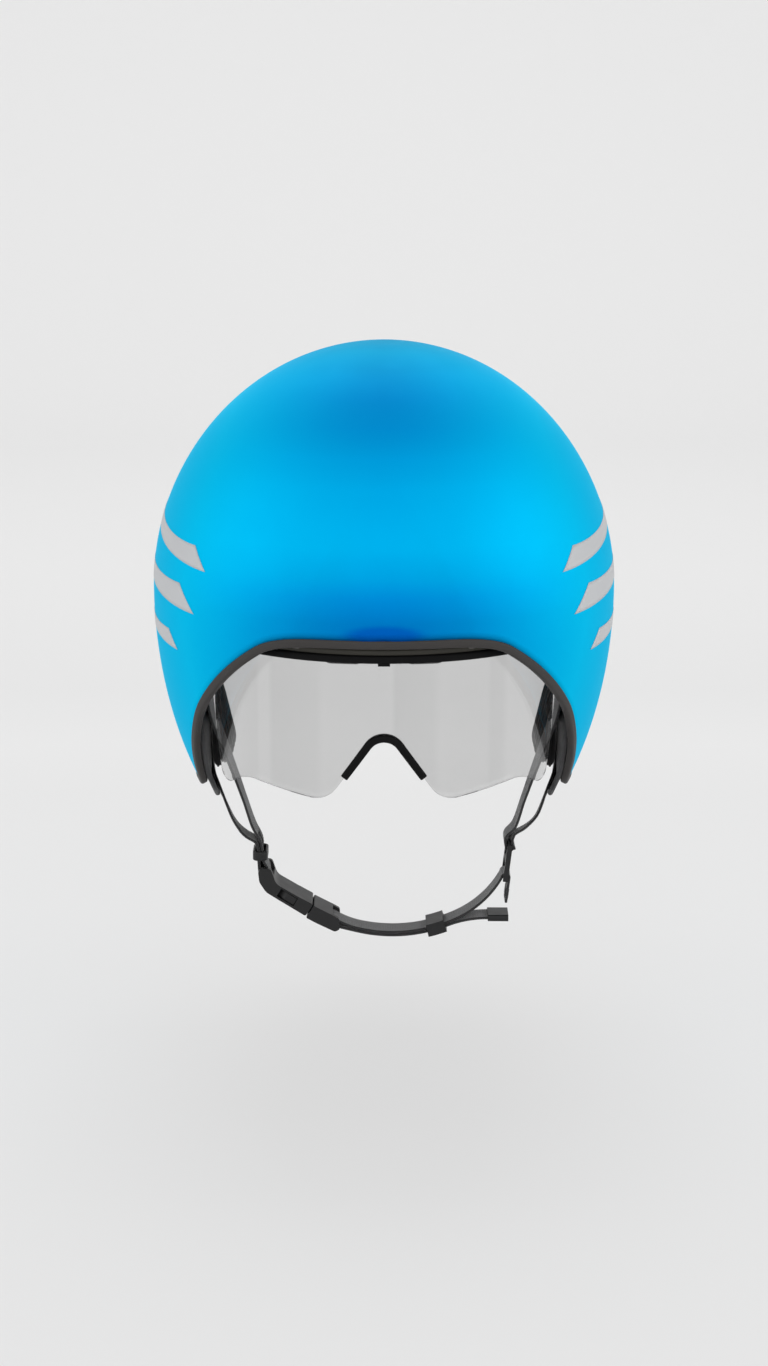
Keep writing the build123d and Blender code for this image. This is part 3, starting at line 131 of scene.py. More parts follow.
class Finish(Bench):
    """A material round the principled shader, whose sockets are named with _ for a space."""

    def __init__(self, name, colour, roughness, **more):
        self.material = bpy.data.materials.new(name)
        self.material.use_nodes = True
        super().__init__(self.material.node_tree)
        self.shader = self.tree.nodes["Principled BSDF"]
        self.feed(Base_Color=colour, Roughness=roughness, **more)

    def feed(self, **links):
        for name, value in links.items():
            self.join(value, self.shader.inputs[name.replace("_", " ")])

    def press(self, height, strength, distance):
        """Bump from a height; the distance is in metres."""
        bump = self.add("Bump", {"Height": height, "Strength": strength, "Distance": distance})
        self.feed(Normal=bump.outputs[0])
        return bump

    def vector_math(self, operation, first, second=(0.0, 0.0, 0.0)):
        return self.add("VectorMath", {0: first, 1: second}, operation=operation).outputs


def shade(colour, share):
    return tuple(channel * share for channel in colour)


print("helpers for materials are ready")

# %% [markdown]
# The helmet floats over a pale floor that rises into a pale wall, as in a light tent. The floor and
# wall glow for the camera, which gives the pale ground; the glow carries painted light and shade,
# faint lighter and darker bands across the floor's depth that brighten towards the wall. Part of
# the floor's look stays a plain lit surface, so that the helmet's soft shadow still shows on it. Past
# the lamps at the sides and in front the floor fades into the world's own pale colour, so no edge
# shows from behind.

# %% Floor and backdrop
floor_height, stage_half_width, stage_front = -0.236, 6.0, -3.5
sweep_start, sweep_radius, sweep_steps, wall_top = 2.3, 0.55, 16, 3.2

profile = [(stage_front, floor_height), (sweep_start, floor_height)]
for step in range(1, sweep_steps + 1):
    turn = math.radians(90) * step / sweep_steps
    profile.append((sweep_start + sweep_radius * math.sin(turn), floor_height + sweep_radius * (1 - math.cos(turn))))
profile.append((sweep_start + sweep_radius, wall_top))

stage_mesh = bpy.data.meshes.new("backdrop")
stage_points = [(side * stage_half_width, y, z) for y, z in profile for side in (-1, 1)]
stage_faces = [(2 * i, 2 * i + 1, 2 * i + 3, 2 * i + 2) for i in range(len(profile) - 1)]
stage_mesh.from_pydata(stage_points, [], stage_faces)
stage_mesh.polygons.foreach_set("use_smooth", [True] * len(stage_faces))
put_in_scene("backdrop", stage_mesh)

# %% The ground's glow
pale_ground, glow_share = (0.80, 0.80, 0.80), 0.62
glow_depths, fade_sides, fade_front = (-0.6, 3.0), (0.9, 1.6), (-1.7, -2.4)
# The glow's stops paint faint bands of light and shade across the floor's depth, brightening towards the wall.
glow_and_painted_band_stops = [(0.0, 0.770), (0.233, 0.800), (0.314, 0.780), (0.356, 0.800), (0.408, 0.760), (0.5, 0.785),
              (0.556, 0.80), (0.82, 0.825), (1.0, 0.868)]
ground = Finish("pale_backdrop", pale_ground, 0.9, Specular_IOR_Level=0.0)
across, depth, _ = ground.axes()
rays = ground.add("LightPath").outputs
glow = ground.add("Emission", {"Color": ground.ramp(ground.remap(depth, *glow_depths), glow_and_painted_band_stops)}).outputs[0]
seen = ground.math("MAXIMUM", rays["Is Camera Ray"], rays["Is Glossy Ray"])
seen = ground.math("MAXIMUM", seen, rays["Is Transmission Ray"])
lit = ground.mix_shaders(ground.math("MULTIPLY", seen, glow_share), ground.shader.outputs[0], glow)
past_sides = ground.remap(ground.math("ABSOLUTE", across), *fade_sides)
far = ground.math("MAXIMUM", past_sides, ground.remap(depth, *fade_front))
haze = ground.add("Emission", {"Color": pale_ground}).outputs[0]
fading = ground.mix_shaders(ground.math("MULTIPLY", far, rays["Is Camera Ray"]), lit, haze)
ground.join(fading, ground.tree.nodes["Material Output"].inputs["Surface"])
stage_mesh.materials.append(ground.material)
print("ground nodes", len(ground.tree.nodes))

# %% [markdown]
# Two tall soft boxes stand at the sides, a wide one stands in front a little above the helmet, and
# one hangs overhead and behind, for the shadow. On a pearly metallic paint the boxes show as broad
# brighter zones and not as sharp highlights, so their size matters more than their power. The world
# adds a plain fill that is weaker from below.

# %% Lights and world
soft_boxes = {
    "left_box": ((-1.7, -0.55, 0.15), (1.7, 2.2), 11),
    "right_box": ((1.7, -0.55, 0.15), (1.7, 2.2), 13),
    "front_box": ((0, -2.5, 0.75), (2.8, 1.5), 17),
    "top_box": ((0, 1.5, 2.0), (1.6, 1.6), 25),
}
for name, (place, size, watts) in soft_boxes.items():
    lamp = bpy.data.lights.new(name, "AREA")
    lamp.shape = "RECTANGLE"
    lamp.size, lamp.size_y = size
    lamp.energy = watts
    stand = put_in_scene(name, lamp)
    stand.location = place
    stand.rotation_euler = (-Vector(place)).to_track_quat("-Z", "Y").to_euler()

world = bpy.data.worlds.new("studio")
bpy.context.scene.world = world
world.use_nodes = True
sky = Bench(world.node_tree)
fill = sky.tree.nodes["Background"]
level = sky.remap(sky.axes(sky.places["Generated"])["Z"], -1.0, 1.0)
fill_stops = [(0.0, 0.32), (0.38, 0.41), (0.5, 0.63), (0.65, 0.66), (0.8, 0.64), (1.0, 0.56)]
sky.join(sky.ramp(level, fill_stops), fill.inputs["Color"])
pale = sky.add("Background", {"Color": pale_ground})
sky_mix = sky.mix_shaders(sky.add("LightPath").outputs["Is Camera Ray"], fill.outputs[0], pale.outputs[0])
sky.join(sky_mix, sky.tree.nodes["World Output"].inputs["Surface"])
bpy.context.scene.view_settings.view_transform = "Standard"
print(len(soft_boxes), "soft boxes and a pale world")

# %% [markdown]
# The shell is an egg: four quarter ellipsoids that share their width, with a short front, a long
# tail, a low crown and a deep cheek. Any point on it is found from two angles, so a smooth mesh can
# be written straight from that rule. The same rule places the trim, the stripes and the pads.

# %% The egg
shell_half_width, brow_reach, tail_reach, crown_height, cheek_depth = 112.5, 115.0, 215.0, 117.5, 164.0
tail_cut = 190.0


def egg_reach(y, z, inset=0.0):
    """The ellipsoid's three half axes in the quarter that holds a point, drawn in by an inset."""
    length = tail_reach if y > 0 else brow_reach
    height = crown_height if z > 0 else cheek_depth
    return shell_half_width - inset, length - inset, height - inset


def egg_side(y, z, inset=0.0):
    """How far out the egg's side is at a place in its side view."""
    wide, length, height = egg_reach(y, z, inset)
    return wide * math.sqrt(max(0.0, 1 - (y / length) ** 2 - (z / height) ** 2))


def ellipsoid_normal(point, reach):
    return Vector([place / half**2 for place, half in zip(point, reach)]).normalized()


def egg_normal(point):
    return ellipsoid_normal(point, egg_reach(point.y, point.z))


def flip(vector):
    """The same place or direction on the other side of the helmet."""
    return Vector((-vector.x, vector.y, vector.z))


print("the egg is", 2 * shell_half_width, "mm wide and", brow_reach + tail_cut, "mm long")

# %% [markdown]
# Four helpers for lines serve the whole lesson. One draws an outline with rounded corners, one
# divides a line into equal steps, one rounds the corner of a box, and one gives the direction of
# travel at each point of a line. The shell's lower edge is such an outline in the side view, laid
# on the egg.

# %% Lines and the shell's lower edge
def round_corners(corners, radii, steps=10):
    """Outline through corners, with an arc of the given radius at each inner corner."""
    outline = [Vector(corners[0])]
    for before, corner, after, radius in zip(corners, corners[1:], corners[2:], radii):
        here = Vector(corner)
        back = (Vector(before) - here).normalized()
        forth = (Vector(after) - here).normalized()
        half = back.angle(forth) / 2
        reach = radius / math.tan(half)
        centre = here + (back + forth).normalized() * (radius / math.sin(half))
        start = (here + back * reach - centre).normalized()
        end = (here + forth * reach - centre).normalized()
        outline += [centre + radius * start.slerp(end, step / steps) for step in range(steps + 1)]
    return outline + [Vector(corners[-1])]


def along(points, count):
    """The same line, divided into equal steps."""
    lengths = [0.0]
    for first, second in zip(points, points[1:]):
        lengths.append(lengths[-1] + (second - first).length)
    places = []
    index = 0
    for step in range(count + 1):
        wanted = lengths[-1] * step / count
        while index < len(points) - 2 and lengths[index + 1] < wanted:
            index += 1
        span = max(lengths[index + 1] - lengths[index], 1e-9)
        places.append(points[index].lerp(points[index + 1], (wanted - lengths[index]) / span))
    return places


quarters = ((1, 1, 0), (-1, 1, 90), (-1, -1, 180), (1, -1, 270))


def corner_arc(quarter, half_wide, half_tall, radius, steps):
    """Points round one corner of a box; a quarter is its two signs and its first angle."""
    across, up, start = quarter
    turns = [math.radians(start + 90 * step / steps) for step in range(steps + 1)]
    return [(across * (half_wide - radius) + radius * math.cos(turn),
             up * (half_tall - radius) + radius * math.sin(turn)) for turn in turns]


def headings(line, closed=False):
    """Direction of travel at each point of a line."""
    last = len(line) - 1
    found = []
    for index in range(len(line)):
        before, after = max(index - 1, 0), min(index + 1, last)
        if closed:
            before, after = index - 1, (index + 1) % len(line)
        found.append((line[after] - line[before]).normalized())
    return found


edge_corners = [(-140.0, -7.0), (-103.04, -7.0), (-61.99, -48.54), (-24.04, -92.99), (0.0, -92.99),
                (44.94, -58.06), (110.08, -48.05), (190.0, -10.0), (230.0, -10.0)]
edge_radii = [20.0, 150.0, 12.0, 14.0, 50.0, 60.0, 40.0]
edge_profile = round_corners(edge_corners, edge_radii)
edge_samples, edge_stations = 900, 220


def edge_on_egg(count):
    """Right half of the lower edge, from the brow's middle to the egg's end."""
    line = []
    for place in along(edge_profile, edge_samples):
        wide, length, height = egg_reach(place.x, place.y)
        if (place.x / length) ** 2 + (place.y / height) ** 2 < 1:
            line.append(Vector((egg_side(place.x, place.y), place.x, place.y)))
    for index, reach, z in ((0, -brow_reach, edge_corners[0][1]), (-1, tail_reach, edge_corners[-1][1])):
        line[index] = Vector((0, reach * math.sqrt(1 - (z / cheek_depth) ** 2), z))
    return along(line, count)


edge_line = edge_on_egg(edge_stations)
print("edge from", [round(v, 1) for v in edge_line[0]], "to", [round(v, 1) for v in edge_line[-1]])

# %% [markdown]
# The shell's mesh is a fan of columns. Each column starts on the lower edge and climbs to the crown
# at a constant bearing, so the edge is exact and the rows above it stay even. The tail is then cut
# flat, the cut gets its own face with the vent's port in it, and the skin is given its thickness.

# %% Helpers for meshes
def finish_mesh(name, bm, material=None, smooth_angle=None):
    """An object from mesh data, shaded smooth, with its material."""
    mesh = bpy.data.meshes.new(name)
    bmesh.ops.recalc_face_normals(bm, faces=bm.faces)
    bm.to_mesh(mesh)
    bm.free()
    mesh.polygons.foreach_set("use_smooth", [True] * len(mesh.polygons))
    if smooth_angle is not None:
        mesh.set_sharp_from_angle(angle=math.radians(smooth_angle))
    if material is not None:
        mesh.materials.append(material)
    return put_in_scene(name, mesh)


def thicken(piece, wall):
    """Give a skin its wall, inwards, and keep the result as the piece's mesh."""
    solidify = piece.modifiers.new("wall", "SOLIDIFY")
    solidify.thickness = wall * millimetre
    solidify.offset = -1
    old = piece.data
    piece.data = bpy.data.meshes.new_from_object(piece.evaluated_get(bpy.context.evaluated_depsgraph_get()))
    piece.modifiers.clear()
    bpy.data.meshes.remove(old)


def settle(piece, body, slot_name, *replaced):
    """Tie a piece to the body it moves with and hide the fixed pieces that it stands for; slot_name is not used."""
    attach(piece, body)
    if replaced:
        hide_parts(*replaced)


def quads(bm, grid):
    """Faces between the neighbouring rows of a grid of corners."""
    for here, there in zip(grid, grid[1:]):
        for index in range(len(here) - 1):
            bm.faces.new((here[index], there[index], there[index + 1], here[index + 1]))


print("helpers for meshes are ready")

# %% Shell
shell_wall, shell_rows = 2.5, 72
vent_half_width, vent_half_height, vent_middle, vent_corner = 30.0, 14.0, 20.0, 8.0


def column(foot, rows):
    """Points from the lower edge to just below the crown, at one bearing."""
    wide, length, height = egg_reach(foot.y, foot.z)
    bearing = math.atan2(foot.y / length, foot.x / wide)
    low = math.asin(max(-1.0, min(1.0, foot.z / height)))
    points = []
    for row in range(rows):
        climb = low + (math.radians(90) - low) * row / rows
        flat = math.cos(climb)
        unit = (flat * math.cos(bearing), flat * math.sin(bearing), math.sin(climb))
        points.append(Vector([share * reach for share, reach in zip(unit, egg_reach(unit[1], unit[2]))]))
    return points


def port_ring(bm):
    """Edges of the vent's rounded port."""
    points = []
    for quarter in quarters:
        for x, z in corner_arc(quarter, vent_half_width, vent_half_height, vent_corner, steps=6):
            points.append(bm.verts.new((x, tail_cut, vent_middle + z)))
    return [bm.edges.new((a, b)) for a, b in zip(points, points[1:] + points[:1])]


def build_shell():
    bm = bmesh.new()
    rings = []
    for foot in edge_line + [flip(p) for p in reversed(edge_line[1:-1])]:
        points = column(Vector((abs(foot.x), foot.y, foot.z)), shell_rows)
        rings.append([bm.verts.new(flip(p) if foot.x < 0 else p) for p in points])
    crown = bm.verts.new((0, 0, crown_height))
    for here, there in zip(rings, rings[1:] + rings[:1]):
        quads(bm, [here, there])
        bm.faces.new((here[-1], there[-1], crown))
    geometry = bm.verts[:] + bm.edges[:] + bm.faces[:]
    cut = bmesh.ops.bisect_plane(bm, geom=geometry, dist=0.01, plane_co=(0, tail_cut, 0), plane_no=(0, 1, 0),
                                 clear_outer=True)
    rim = [e for e in cut["geom_cut"] if isinstance(e, bmesh.types.BMEdge)]
    ends = sorted((v for e in rim for v in e.verts if sum(x in rim for x in v.link_edges) == 1),
                  key=lambda v: v.co.x)
    rim.append(bm.edges.new((ends[0], ends[-1])))
    bmesh.ops.triangle_fill(bm, edges=rim + port_ring(bm), use_beauty=True)
    bmesh.ops.scale(bm, vec=(millimetre,) * 3, verts=bm.verts)
    return bm


shell = finish_mesh("aero_shell", build_shell(), smooth_angle=40)
thicken(shell, shell_wall)
settle(shell, "helmet", "paint", "outer_shell")
print("shell faces", len(shell.data.polygons))

# %% [markdown]
# The paint is a pearly blue. Seen straight on it is deep and saturated, and at a glancing angle it
# pales to the colour of the studio, which is what fine metal flakes in a blue lacquer do. Flakes are
# far smaller than a pixel, so they are drawn as a faint grain in the normal and in the roughness.
# A tint on the specular keeps the pale rim narrow. A ramp over the height paints light and shade into
# the blue: deeper over the brow and the upper middle, lighter at mid-height and paler at the crown,
# and a second mask paints broad highlights on both flanks, where the side boxes reflect. A deeper
# oval sits low in the middle of the brow.

# %% Pearly blue paint
# Painted light and shade over the height: blue deeper at the brow and high in the middle, lighter at mid-height, paler
# at the crown.
painted_shading_stops = [(0.22, 0.200, 0.580), (0.339, 0.220, 0.600), (0.364, 0.245, 0.643), (0.403, 0.285, 0.693),
                (0.453, 0.375, 0.745), (0.527, 0.458, 0.820), (0.671, 0.490, 0.900), (0.741, 0.445, 0.870),
                (0.809, 0.340, 0.740), (0.877, 0.262, 0.590), (0.941, 0.235, 0.460), (0.976, 0.265, 0.455)]
# The flank blue is a painted highlight of the side boxes, mixed in towards both sides.
painted_highlight_blue, oval_blue = (0.0, 0.59, 0.90), (0.0, 0.135, 0.555)
oval_middle, oval_shares = (0.0, 0.0, -0.0045), (50.0, 0.0, 190.0)
paint_heights, oval_edge, oval_depths = (-0.06, 0.12), (1.15, 0.55), (-0.06, -0.08)
highlight_gain, highlight_power, highlight_spread = 10.5, 1.75, 80.0
flakes_per_metre, flake_depth = 5200.0, 0.00003

paint = Finish("pearl_blue", (0.0, 0.37, 0.83), 0.60, Metallic=1.0, Specular_Tint=(0.6, 0.82, 0.94))
across, back, up = paint.axes()
painted_shading_ramp = [(height, (0.0, green, blue)) for height, green, blue in painted_shading_stops]
painted_shading_tone = paint.ramp(paint.remap(up, *paint_heights), painted_shading_ramp)
# Mask of the painted flank highlight: it grows with the distance from the middle and with the height.
painted_highlight_mask = paint.math("POWER", paint.math("MULTIPLY", paint.math("ABSOLUTE", across), highlight_gain), highlight_power)
painted_highlight_widen = paint.math("MULTIPLY_ADD", paint.math("MULTIPLY", up, up), highlight_spread, 1.0)
tone = paint.blend(paint.math("MULTIPLY", painted_highlight_mask, painted_highlight_widen, use_clamp=True), painted_shading_tone, painted_highlight_blue)
from_oval = paint.vector_math("SUBTRACT", paint.metres, oval_middle)[0]
oval_reach = paint.vector_math("LENGTH", paint.vector_math("MULTIPLY", from_oval, oval_shares)[0])["Value"]
oval = paint.remap(oval_reach, *oval_edge, interpolation_type="SMOOTHSTEP")
oval_front = paint.math("MULTIPLY", oval, paint.remap(back, *oval_depths))
flake = paint.add("TexVoronoi", {"Vector": paint.metres, "Scale": flakes_per_metre}).outputs["Distance"]
paint.press(flake, 0.10, flake_depth)
paint.feed(Base_Color=paint.blend(oval_front, tone, oval_blue),
           Roughness=paint.remap(paint.noise(55.0, 4.0), to_low=0.58, to_high=0.64))
shell.data.materials.append(paint.material)
print("paint nodes", len(paint.tree.nodes))

# %% [markdown]
# The flanks carry plain tapering speed stripes in pale grey. Each stripe is a thin film cut as a
# long wedge that follows the egg, drawn as a strip of quads a fraction of a millimetre proud of the
# paint, so its edge stays crisp from any distance.

# %% Speed stripes
film = Finish("pale_grey_film", (0.50, 0.51, 0.525), 0.50)
film.press(film.noise(900.0), 0.06, 0.00004)
stripe_lift, stripe_wall, stripe_slant, stripe_bend = 0.16, 0.1, 0.9, 1.35
stripe_steps, stripe_lanes = 60, 6


def stripe(name, side, start, end, wide_start, wide_end):
    """Wedge on one flank between two places in the side view; its ends are cut at a slant."""
    bm = bmesh.new()
    grid = []
    for step in range(stripe_steps + 1):
        share = step / stripe_steps
        row = []
        for lane in range(stripe_lanes + 1):
            offset = (lane / stripe_lanes - 0.5) * (wide_start + (wide_end - wide_start) * share)
            y = start[0] + (end[0] - start[0]) * share + stripe_slant * offset
            z = start[1] + (end[1] - start[1]) * share**stripe_bend + offset
            point = Vector((egg_side(y, z), y, z))
            point += egg_normal(point) * stripe_lift
            row.append(bm.verts.new((side * point.x * millimetre, point.y * millimetre, point.z * millimetre)))
        grid.append(row)
    quads(bm, grid)
    made = finish_mesh(name, bm, film.material)
    thicken(made, stripe_wall)
    settle(made, "helmet", "paint")


stripe_rows = [
    ((-70.0, 24.0), (88.0, 62.0), 11.0, 3.0),
    ((-64.0, 4.0), (112.0, 34.0), 13.0, 3.0),
    ((-50.0, -18.0), (96.0, 3.0), 9.0, 2.0),
]
for index, row in enumerate(stripe_rows):
    for word, side in sides:
        stripe(f"speed_stripe_{word}_{index + 1}", side, *row)
print("stripes", 2 * len(stripe_rows))

# %% [markdown]
# Many pieces of a helmet are one section carried along a line: the rubber trim, the webbing, the
# nose bead and the piping of the pads. One helper builds them all. It takes stations, each a place
# with a width direction and a thickness direction, and a section drawn once, and it writes texture
# coordinates in metres, so a weave keeps its scale however the strap runs.

# %% Sections carried along a line
def flat_oval(half_wide, half_thick, round_to, lanes=6):
    """Section of a strap or lip: flat faces and rounded edges, as (across, through) pairs."""
    points = []
    for quarter in quarters:
        points += corner_arc(quarter, half_wide, half_thick, round_to, steps=4)
        side, face = quarter[:2]
        if side == face:
            points += [(side * (half_wide - round_to) * (1 - 2 * lane / lanes), face * half_thick)
                       for lane in range(1, lanes)]
    return points


def carry(bm, stations, section, closed=False):
    """Carry a section along stations (origin, across, through), in millimetres, with metric UVs."""
    uv = bm.loops.layers.uv.verify()
    girth = [0.0]
    for first, second in zip(section, section[1:] + section[:1]):
        girth.append(girth[-1] + math.dist(first, second))
    rings, travel = [], [0.0]
    for index, (origin, wide, thick) in enumerate(stations):
        rings.append([bm.verts.new((origin + wide * a + thick * b) * millimetre) for a, b in section])
        if index:
            travel.append(travel[-1] + (origin - stations[index - 1][0]).length)
    count = len(section)
    last = len(rings) if closed else len(rings) - 1
    for ring in range(last):
        here, there = rings[ring], rings[(ring + 1) % len(rings)]
        far = travel[ring + 1] if ring + 1 < len(travel) else travel[-1] + (stations[0][0] - stations[-1][0]).length
        for index in range(count):
            following = (index + 1) % count
            face = bm.faces.new((here[index], here[following], there[following], there[index]))
            corners = ((index, travel[ring]), (index + 1, travel[ring]), (index + 1, far), (index, far))
            for loop, (place, run) in zip(face.loops, corners):
                loop[uv].uv = (girth[place] * millimetre, run * millimetre)
    if not closed:
        for ring, order in ((rings[0], -1), (rings[-1], 1)):
            bm.faces.new(ring[::order])


def swept(name, stations, section, finish, body, slot_name, *replaced, closed=False):
    bm = bmesh.new()
    carry(bm, stations, section, closed)
    made = finish_mesh(name, bm, finish.material, smooth_angle=50)
    settle(made, body, slot_name, *replaced)
    return made


def square_to(ahead, wanted):
    """The wanted direction, turned square to the direction of travel."""
    return (wanted - ahead * wanted.dot(ahead)).normalized()


def frames_along(line, wanted, closed=False, by_normal=False):
    """Stations square to a line; wanted gives each width direction, or each thickness direction."""
    stations = []
    for point, ahead, direction in zip(line, headings(line, closed), wanted):
        first = square_to(ahead, direction)
        second = ahead.cross(first).normalized()
        stations.append((point, second, first) if by_normal else (point, first, second))
    return stations


print("one helper for trim, webbing, bead and piping")

# %% [markdown]
# The shell's lower edge wears a soft rubber trim. It covers the cut edge of the shell, stands a
# little proud on both faces, and runs all the way round, turning the two tail corners. Satin rubber
# is dark, slightly warm, and has a fine mould grain with a little dust in it.

# %% Rubber finishes
def rubber(name, colour, roughness, grain_scale, gloss=0.26):
    made = Finish(name, colour, roughness, Specular_IOR_Level=gloss)
    made.press(made.noise(grain_scale, 5.0), 0.35, 0.00003)
    bloom = made.noise(60.0)
    made.feed(Base_Color=made.blend(bloom, shade(colour, 0.85), shade(colour, 1.2)),
              Roughness=made.remap(bloom, to_low=roughness - 0.07, to_high=roughness + 0.09))
    return made


trim_rubber = rubber("satin_trim_rubber", (0.036, 0.033, 0.032), 0.52, 1400.0)
black_rubber = rubber("matt_black_rubber", (0.0040, 0.0040, 0.0042), 0.62, 1700.0, gloss=0.10)
olive_rubber = rubber("olive_brown_rubber", (0.038, 0.036, 0.029), 0.50, 1500.0)
print("three rubbers")

# %% Edge trim
trim_width, trim_proud, trim_hold, trim_round = 3.75, 0.6, 0.5, 1.15
corner_bulge, corner_step_in, corner_room, corner_steps, tail_steps = 1.25, 2.2, 0.5, 6, 24


def trim_stations():
    """The edge's places with their outward direction and run, then turned into frames."""
    front, *right = [(here, egg_normal(here), ahead) for here, ahead in zip(edge_line[:-1], headings(edge_line))]
    right = [station for station in right if station[0].y < tail_cut - corner_room]
    stations = [(front[0], front[1], Vector((1, 0, 0)))] + right
    corner, side_normal, side_run = right[-1]
    rear_normal, rear_run = Vector((0, 1, 0)), Vector((-1, 0, 0))
    inset = shell_wall / 2 + trim_proud
    pivot = Vector((corner.x, tail_cut, corner.z)) - (side_normal + rear_normal) * inset
    for step in range(1, corner_steps):
        share = step / corner_steps
        normal = side_normal.slerp(rear_normal, share)
        stations.append((pivot + normal * inset * corner_bulge, normal, side_run.slerp(rear_run, share)))
    for step in range(tail_steps + 1):
        across = (corner.x - corner_step_in) * (1 - step / tail_steps)
        stations.append((Vector((across, tail_cut, corner.z)), rear_normal, rear_run))
    stations += [(flip(place), flip(normal), -flip(run)) for place, normal, run in reversed(stations[1:-1])]
    framed = []
    for place, normal, run in stations:
        down = run.cross(normal).normalized()
        framed.append((place - normal * (shell_wall / 2) + down * ((trim_width - trim_hold) / 2), down, normal))
    return framed


trim_section = flat_oval((trim_width + trim_hold) / 2, shell_wall / 2 + trim_proud, trim_round, lanes=3)
trim = swept("edge_trim_rubber", trim_stations(), trim_section, trim_rubber, "helmet", "trim_rubber", "edge_trim",
             closed=True)
print("trim faces", len(trim.data.polygons))

# %% [markdown]
# The lens is a clear, lightly smoked band of a tall ellipsoid. It is written as columns between its
# top line and its bottom line, the arch for the nose included, then cut at the back by the plane
# where the real one ends, and thickened to 1.8 mm. Real glass shading with a grey tint keeps the
# room visible behind it and lays soft reflections of the boxes over it.

# %% Lens form
lens_reach, lens_thick, lens_end = (93.0, 106.0, 260.0), 1.8, 47.0
lens_side = [(-0.602, -12.3), (-0.774, -23.0), (-0.860, -36.0), (-0.898, -46.0), (-0.898, -70.0),
             (-0.812, -88.6), (-0.710, -80.2), (-0.290, -86.6), (0.0, -47.9)]
lens_radii = [6.0, 12.0, 10.0, 8.0, 12.0, 3.0, 12.0, 13.0, 9.0]
lens_columns, lens_rows, lens_margin = 240, 26, 0.02
lens_left = [(share * lens_reach[0], z) for share, z in lens_side]
lens_loop = lens_left + [(-x, z) for x, z in reversed(lens_left[:-1])]
lens_top_middle = ((lens_loop[0][0] + lens_loop[-1][0]) / 2, lens_loop[0][1])
lens_outline = round_corners([lens_top_middle] + lens_loop + [lens_top_middle], lens_radii + lens_radii[-2::-1],
                             steps=8)


def lens_point(x, z, inset=0.0):
    """Place on the lens's outer face, or inside it by an inset."""
    wide, length, tall = (reach - inset for reach in lens_reach)
    return Vector((x, -length * math.sqrt(max(0.0, 1 - (x / wide) ** 2 - (z / tall) ** 2)), z))


def heights_at(x):
    """Lowest and highest place where a vertical line meets the outline."""
    found = []
    for first, second in zip(lens_outline, lens_outline[1:]):
        if (first.x - x) * (second.x - x) <= 0 and abs(second.x - first.x) > 1e-6:
            found.append(first.y + (second.y - first.y) * (x - first.x) / (second.x - first.x))
    return min(found), max(found)


def build_lens():
    bm = bmesh.new()
    side = -lens_left[3][0] - lens_margin
    grid = []
    for index in range(lens_columns + 1):
        x = -side + 2 * side * index / lens_columns
        low, high = heights_at(x)
        heights = [low + (high - low) * row / lens_rows for row in range(lens_rows + 1)]
        grid.append([bm.verts.new(lens_point(x, z) * millimetre) for z in heights])
    quads(bm, grid)
    bmesh.ops.bisect_plane(bm, geom=bm.verts[:] + bm.edges[:] + bm.faces[:], dist=1e-5,
                           plane_co=(0, -lens_end * millimetre, 0), plane_no=(0, 1, 0), clear_outer=True)
    return bm


lens = finish_mesh("smoke_lens", build_lens(), smooth_angle=40)
thicken(lens, lens_thick)
settle(lens, "visor", "lens", "visor_lens")
print("lens columns and rows give", len(lens.data.polygons), "faces")

# %% [markdown]
# The lens is thin clear smoke. Light goes nearly straight through so thin a wall, so the index of the
# body is close to one, and a coat with the index of the real plastic gives the reflections. The tint
# carries painted reflections: soft upright bands across the width, a little lighter and darker, which
# stand for strip lights in front reflected in the lens.

# %% Clear smoke for the lens
reflection_band_reach = 0.08
# Painted reflections: upright bands of lighter and darker tint across the lens's width.
painted_reflection_bands = [(0.0, 0.70), (0.105, 0.66), (0.125, 0.66), (0.135, 0.69), (0.160, 0.69), (0.175, 0.645), (0.300, 0.665),
              (0.325, 0.695), (0.520, 0.695), (0.535, 0.65), (0.640, 0.665), (0.665, 0.695), (0.800, 0.685),
              (0.815, 0.655), (0.845, 0.66), (0.865, 0.70)]
smoke = Finish("clear_smoke", (0.70, 0.705, 0.71), 0.03, Transmission_Weight=1.0, IOR=1.03, Coat_Weight=1.0,
               Coat_IOR=1.5, Coat_Roughness=0.06)
smoke.feed(Base_Color=smoke.ramp(smoke.remap(smoke.axes()["X"], -reflection_band_reach, reflection_band_reach), painted_reflection_bands),
           Roughness=smoke.remap(smoke.noise(40.0), to_low=0.015, to_high=0.06))
lens.data.materials.append(smoke.material)
print("tint bands", len(painted_reflection_bands))

# %% [markdown]
# Rubber finishes the lens. A black gasket lies along its top edge with a small tab in the middle, and
# a thin olive flange above it closes the gap to the shell's trim. A channel is pressed over the arch,
# where the nose would otherwise meet a bare edge.

# %% Nose bead
bead_width, bead_proud, bead_bottom, bead_round = 3.6, 1.4, -74.0, 1.1
foot, peak = Vector(lens_left[7]), Vector(lens_left[8])
start_x = foot.x * (bead_bottom - peak.y) / (foot.y - peak.y)
arch = round_corners([(start_x, bead_bottom), tuple(peak), (-start_x, bead_bottom)], [lens_radii[8]], steps=16)
bead_line = [lens_point(p.x, p.y, lens_thick / 2) for p in along(arch, 64)]
bead_path = frames_along(bead_line, [ellipsoid_normal(p, lens_reach) for p in bead_line], by_normal=True)
swept("nose_bead_rubber", bead_path, flat_oval(bead_width / 2, lens_thick / 2 + bead_proud, bead_round, lanes=2),
      black_rubber, "visor", "black_rubber", "nose_bead")
print("bead stations", len(bead_path))

# %% Brow gasket
seal_half_width, seal_top, seal_bottom, seal_inset, seal_steps = 58.0, -15.0, -18.9, 1.0, 96
flange_top, flange_lap, flange_inset = -12.3, 0.4, 1.3
tab_half_width, tab_half_tall, tab_middle, tab_inset, tab_steps = 2.8, 0.9, -19.3, 0.6, 8
upright, forward = Vector((0, 0, 1)), Vector((0, -1, 0))


def level_run(half_width, z, inset, steps):
    """Even places across the lens at one height."""
    return [lens_point(half_width * (2 * step / steps - 1), z, inset) for step in range(steps + 1)]


